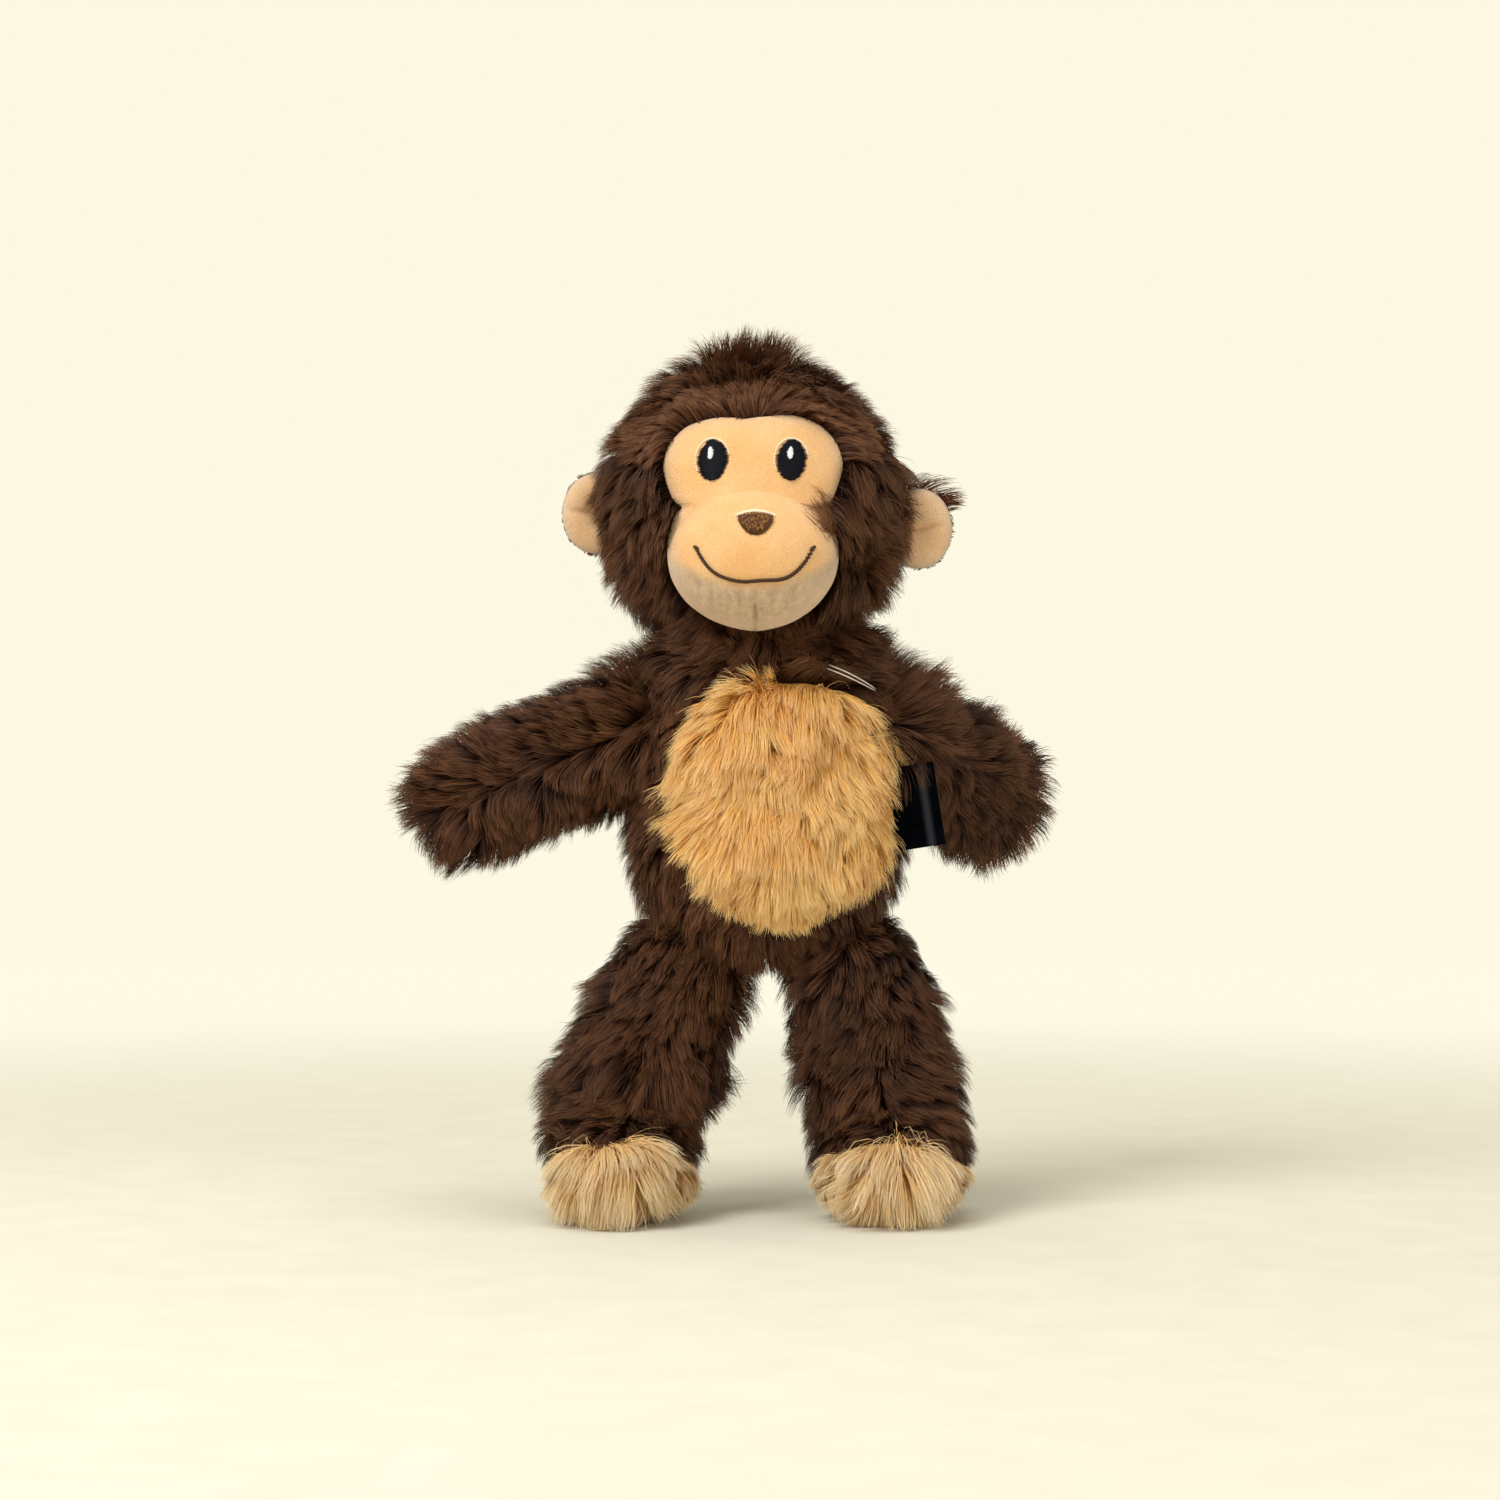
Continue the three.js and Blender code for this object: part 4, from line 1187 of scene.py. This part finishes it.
def sew_ear(side):
    """An ear: a dished velour front with a fold across it, and a back whose pile shows round the rim."""
    way = SIDES[side]
    root = joint_at(f"{side}_ear_fold")
    low, high = union_box(f"{side}_ear_front", f"{side}_ear_back")
    reach = (high[0] - root[0]) if way > 0 else (root[0] - low[0])
    rz, half = (high[2] - low[2]) / 2, (high[1] - low[1]) / 2
    middle = root[2]
    rows, columns = 40, 72
    r = np.linspace(0, 1, rows)[:, None]
    a = np.linspace(0, 2 * math.pi, columns, endpoint=False)[None, :]
    rx = 12.0

    def layer(front):
        x = reach - rx + rx * r * np.cos(a)
        z = rz * r * np.sin(a) * (1 + 0.05 * np.cos(a))
        bulge = half * np.sqrt(np.clip(1 - r**3, 0, 1))
        dish = 3.0 * np.exp(-((r / 0.62) ** 2)) * front
        fold = 1.3 * np.exp(-(((z + 1.0 - 0.12 * x) / 0.9) ** 2)) * front * smooth(1.0, 0.4, r)
        y = -bulge + dish + fold if front else bulge
        y = y + 0.06 * (x - 4)
        return vectors(root[0] + way * np.maximum(x, -3), root[1] + y, middle + z).reshape(-1, 3)

    faces = grid_faces(rows, columns, closed=True)
    flip = [f[::-1] for f in faces]
    skin = velour(f"{side}_ear", ((236, 184, 130), (246, 204, 158)), (222, 198, 172))
    front = mesh_object(f"{side}_ear_velour", layer(1), flip if way > 0 else faces, skin)
    # painted sheen, paler towards the rim of the ear
    mark(front, "rim", np.exp(-(1 - r + 0 * a) / 0.2))
    back = mesh_object(f"{side}_ear_backing", layer(0), faces if way > 0 else flip, BROWN_BACKING)
    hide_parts(f"{side}_ear_front")

    def on_top(p):
        return smooth(rz * 0.3, rz * 0.7, p[:, 2] - middle)

    def flow(p, n):
        over = on_top(p)[:, None] * (TOP_STRANDS[side] / TOP_STRANDS["left"])
        return np.array([way * 0.2, 1.0, 0.0]) * (1 - over) + np.array([way * 1.0, -0.5, 0.35]) * over

    def length(p):
        return 3.0 + TOP_STRANDS[side] * on_top(p)

    fur = plush(f"{side}_ear_fur", back, BROW_PILE, lambda p, n: p[:, 0] * way > root[0] * way + 0.5, flow,
                length, seed=70 + way, node=f"{side}_ear_back", **EAR_PILE)
    for piece in (front, back, fur):
        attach(piece, f"{side}_ear")


def satin():
    """Black satin with a fine weave and a painted band of sheen along the fold."""
    m = Nodes("label_satin", Roughness=0.5, Specular_IOR_Level=0.05, IOR=1.2)
    weave = m.add("ShaderNodeTexWave", wave_type="BANDS", bands_direction="Z")
    weave.inputs["Scale"].default_value = 900
    weave.inputs["Distortion"].default_value = 1.0
    m.link(m.add("ShaderNodeTexCoord").outputs["Object"], weave.inputs["Vector"])
    tone = m.ramp(m.noise(300, 2), (0.3, srgb(1, 2, 4)), (0.7, srgb(5, 7, 12)))
    # painted sheen: a lighter band along the fold
    sheen = m.ramp(m.attribute("rim"), (0.1, BLACK), (0.9, WHITE))
    m.colour(m.mix("MIX", sheen, tone, (*srgb(44, 46, 52), 1)))
    m.bump(weave.outputs["Fac"], 0.25, 0.0001)
    return m.material


def sew_label():
    """A folded satin label in the side seam, with nothing woven on it."""
    width, height = LABEL["width"], LABEL["height"]
    lean = math.radians(LABEL["lean"])
    rows, columns = 30, 44
    v = np.linspace(-0.5, 0.5, rows)[:, None]
    turn = np.linspace(0, 2, columns)[None, :]
    out = np.where(turn < 1, turn, 2 - turn)
    side = np.where(turn < 1, -1, 1) * 0.55 * np.minimum(1, (1 - out) * 8 + 0.02)
    x, z = width * out, height * v
    y = side - 1.6 * np.sin(out * 2.2) * (0.7 + v)
    points = vectors(x * math.cos(lean) - z * math.sin(lean), y, x * math.sin(lean) + z * math.cos(lean))
    label = mesh_object("side_label_satin", points.reshape(-1, 3) + joint_at("label_flap"),
                        grid_faces(rows, columns), satin())
    # where the painted band of sheen lies
    mark(label, "rim", np.exp(-(((out - 0.72) / 0.07) ** 2)) + 0 * v)
    label.modifiers.new("cloth", "SOLIDIFY").thickness = LABEL["cloth"] * MM
    apply_modifiers(label)
    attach(label, "label")
    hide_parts("side_label")


def sew_tag_loop():
    """A clear nylon hairpin, caught in the pile at the neck."""
    m = Nodes("clear_nylon", Roughness=0.25, Specular_IOR_Level=0.6)
    haze = m.noise(500, 2)
    m.colour(m.ramp(haze, (0.3, srgb(176, 166, 150)), (0.7, srgb(222, 214, 200))))
    low, high = union_box("tag_loop")
    a = np.array([low[0], low[1] - 3, high[2] - 1])
    b = np.array([high[0], low[1] - 2, low[2] + 1])
    aside = unit(np.array([0.4, 0, 1.0])) * 0.65
    t = np.linspace(0, 1, 14)[:, None]
    bow = np.sin(t * math.pi) * [0, -0.8, 0.5]
    runs = []
    for sign in (-1, 1):
        runs.append(tube(a + (b - a) * t + bow + aside * sign * (1 - 0.6 * t**3), 0.2, 8))
    loop = mesh_object("tag_loop_nylon", *joined(*runs), m.material)
    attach(loop, "torso")
    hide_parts("tag_loop")


sew_head()
sew_torso()
for each in SIDES:
    sew_arm(each)
    sew_leg(each)
    sew_ear(each)
sew_label()
sew_tag_loop()


# ---- Studio ----
CAMERA = {"away": 1.2, "frame": 0.5, "aside": -0.00267, "height": 0.154}  # aside from the neck
LAMPS = (  # name, place and size in metres, power in watts
    ("key", (-0.75, -0.85, 1.2), 0.7, 16.0),
    ("fill", (0.95, -1.1, 0.55), 1.0, 5.0),
    ("top", (0.0, -0.1, 1.4), 0.8, 6.5),
)
LAMPS_AIM = (0, 0, 0.15)
GLOW = {"from": 0.17, "to": 0.95}  # the paper turns from lit to glowing between these distances
SWEEP = {"half": 9000, "back": 2200, "bend": 900, "top": 3600}  # the paper's sizes in millimetres


def paper():
    """Cream paper that takes the toy's shadow near it and glows evenly farther away."""
    m = Nodes("sweep_paper", Roughness=0.95, Specular_IOR_Level=0.05)
    grain = m.noise(40, 3)
    lit = m.ramp(grain, (0.3, srgb(225, 220, 200)), (0.7, srgb(230, 225, 206)))
    glow = m.add("ShaderNodeMapRange", interpolation_type="SMOOTHSTEP")
    glow.inputs["From Min"].default_value = GLOW["from"]
    glow.inputs["From Max"].default_value = GLOW["to"]
    away = m.add("ShaderNodeVectorMath", operation="LENGTH")
    m.link(m.add("ShaderNodeTexCoord").outputs["Object"], away.inputs[0])
    m.link(away.outputs["Value"], glow.inputs["Value"])
    m.colour(m.mix("MIX", glow.outputs["Result"], lit, (0, 0, 0, 1)))
    m.shader.inputs["Emission Color"].default_value = (*srgb(253, 248, 226), 1)
    m.link(glow.outputs["Result"], m.shader.inputs["Emission Strength"])
    return m.material


def hang_sweep():
    """A floor that bends up into a wall behind the toy."""
    flat = SWEEP["back"] - SWEEP["bend"]
    profile = [(-SWEEP["half"], 0), (flat, 0)]
    for a in np.linspace(0, math.pi / 2, 14)[1:]:
        profile.append((flat + SWEEP["bend"] * math.sin(a), SWEEP["bend"] - SWEEP["bend"] * math.cos(a)))
    profile.append((SWEEP["back"], SWEEP["top"]))
    points = [(x, y, z) for y, z in profile for x in (-SWEEP["half"], SWEEP["half"])]
    mesh_object("studio_sweep", points, grid_faces(len(profile), 2), paper())


def light_room():
    """Soft light from the upper left, and a little from all round."""
    world = bpy.data.worlds.new("room")
    bpy.context.scene.world = world
    world.use_nodes = True
    background = world.node_tree.nodes["Background"]
    background.inputs["Color"].default_value = (*srgb(255, 250, 240), 1)
    background.inputs["Strength"].default_value = 0.3
    for name, place, size, power in LAMPS:
        light = bpy.data.lights.new(name, "AREA")
        light.size = size
        light.energy = power
        lamp = new_object(name, light)
        lamp.location = place
        aim = Vector(LAMPS_AIM) - Vector(place)
        lamp.rotation_euler = aim.to_track_quat("-Z", "Y").to_euler()


def set_camera():
    """A long lens level with the toy's middle."""
    camera = new_object("camera", bpy.data.cameras.new("camera"))
    camera.data.sensor_width = 36
    camera.data.lens = camera.data.sensor_width * CAMERA["away"] / CAMERA["frame"]
    camera.data.clip_start = 0.05
    aside, ahead = NECK_AT[0] * MM + CAMERA["aside"], TORSO_AT[1] * MM - CAMERA["away"]
    camera.location = (aside, ahead, CAMERA["height"])
    camera.rotation_euler = (math.pi / 2, 0, 0)
    bpy.context.scene.camera = camera
    bpy.context.scene.view_settings.view_transform = "Standard"


hang_sweep()
light_room()
set_camera()
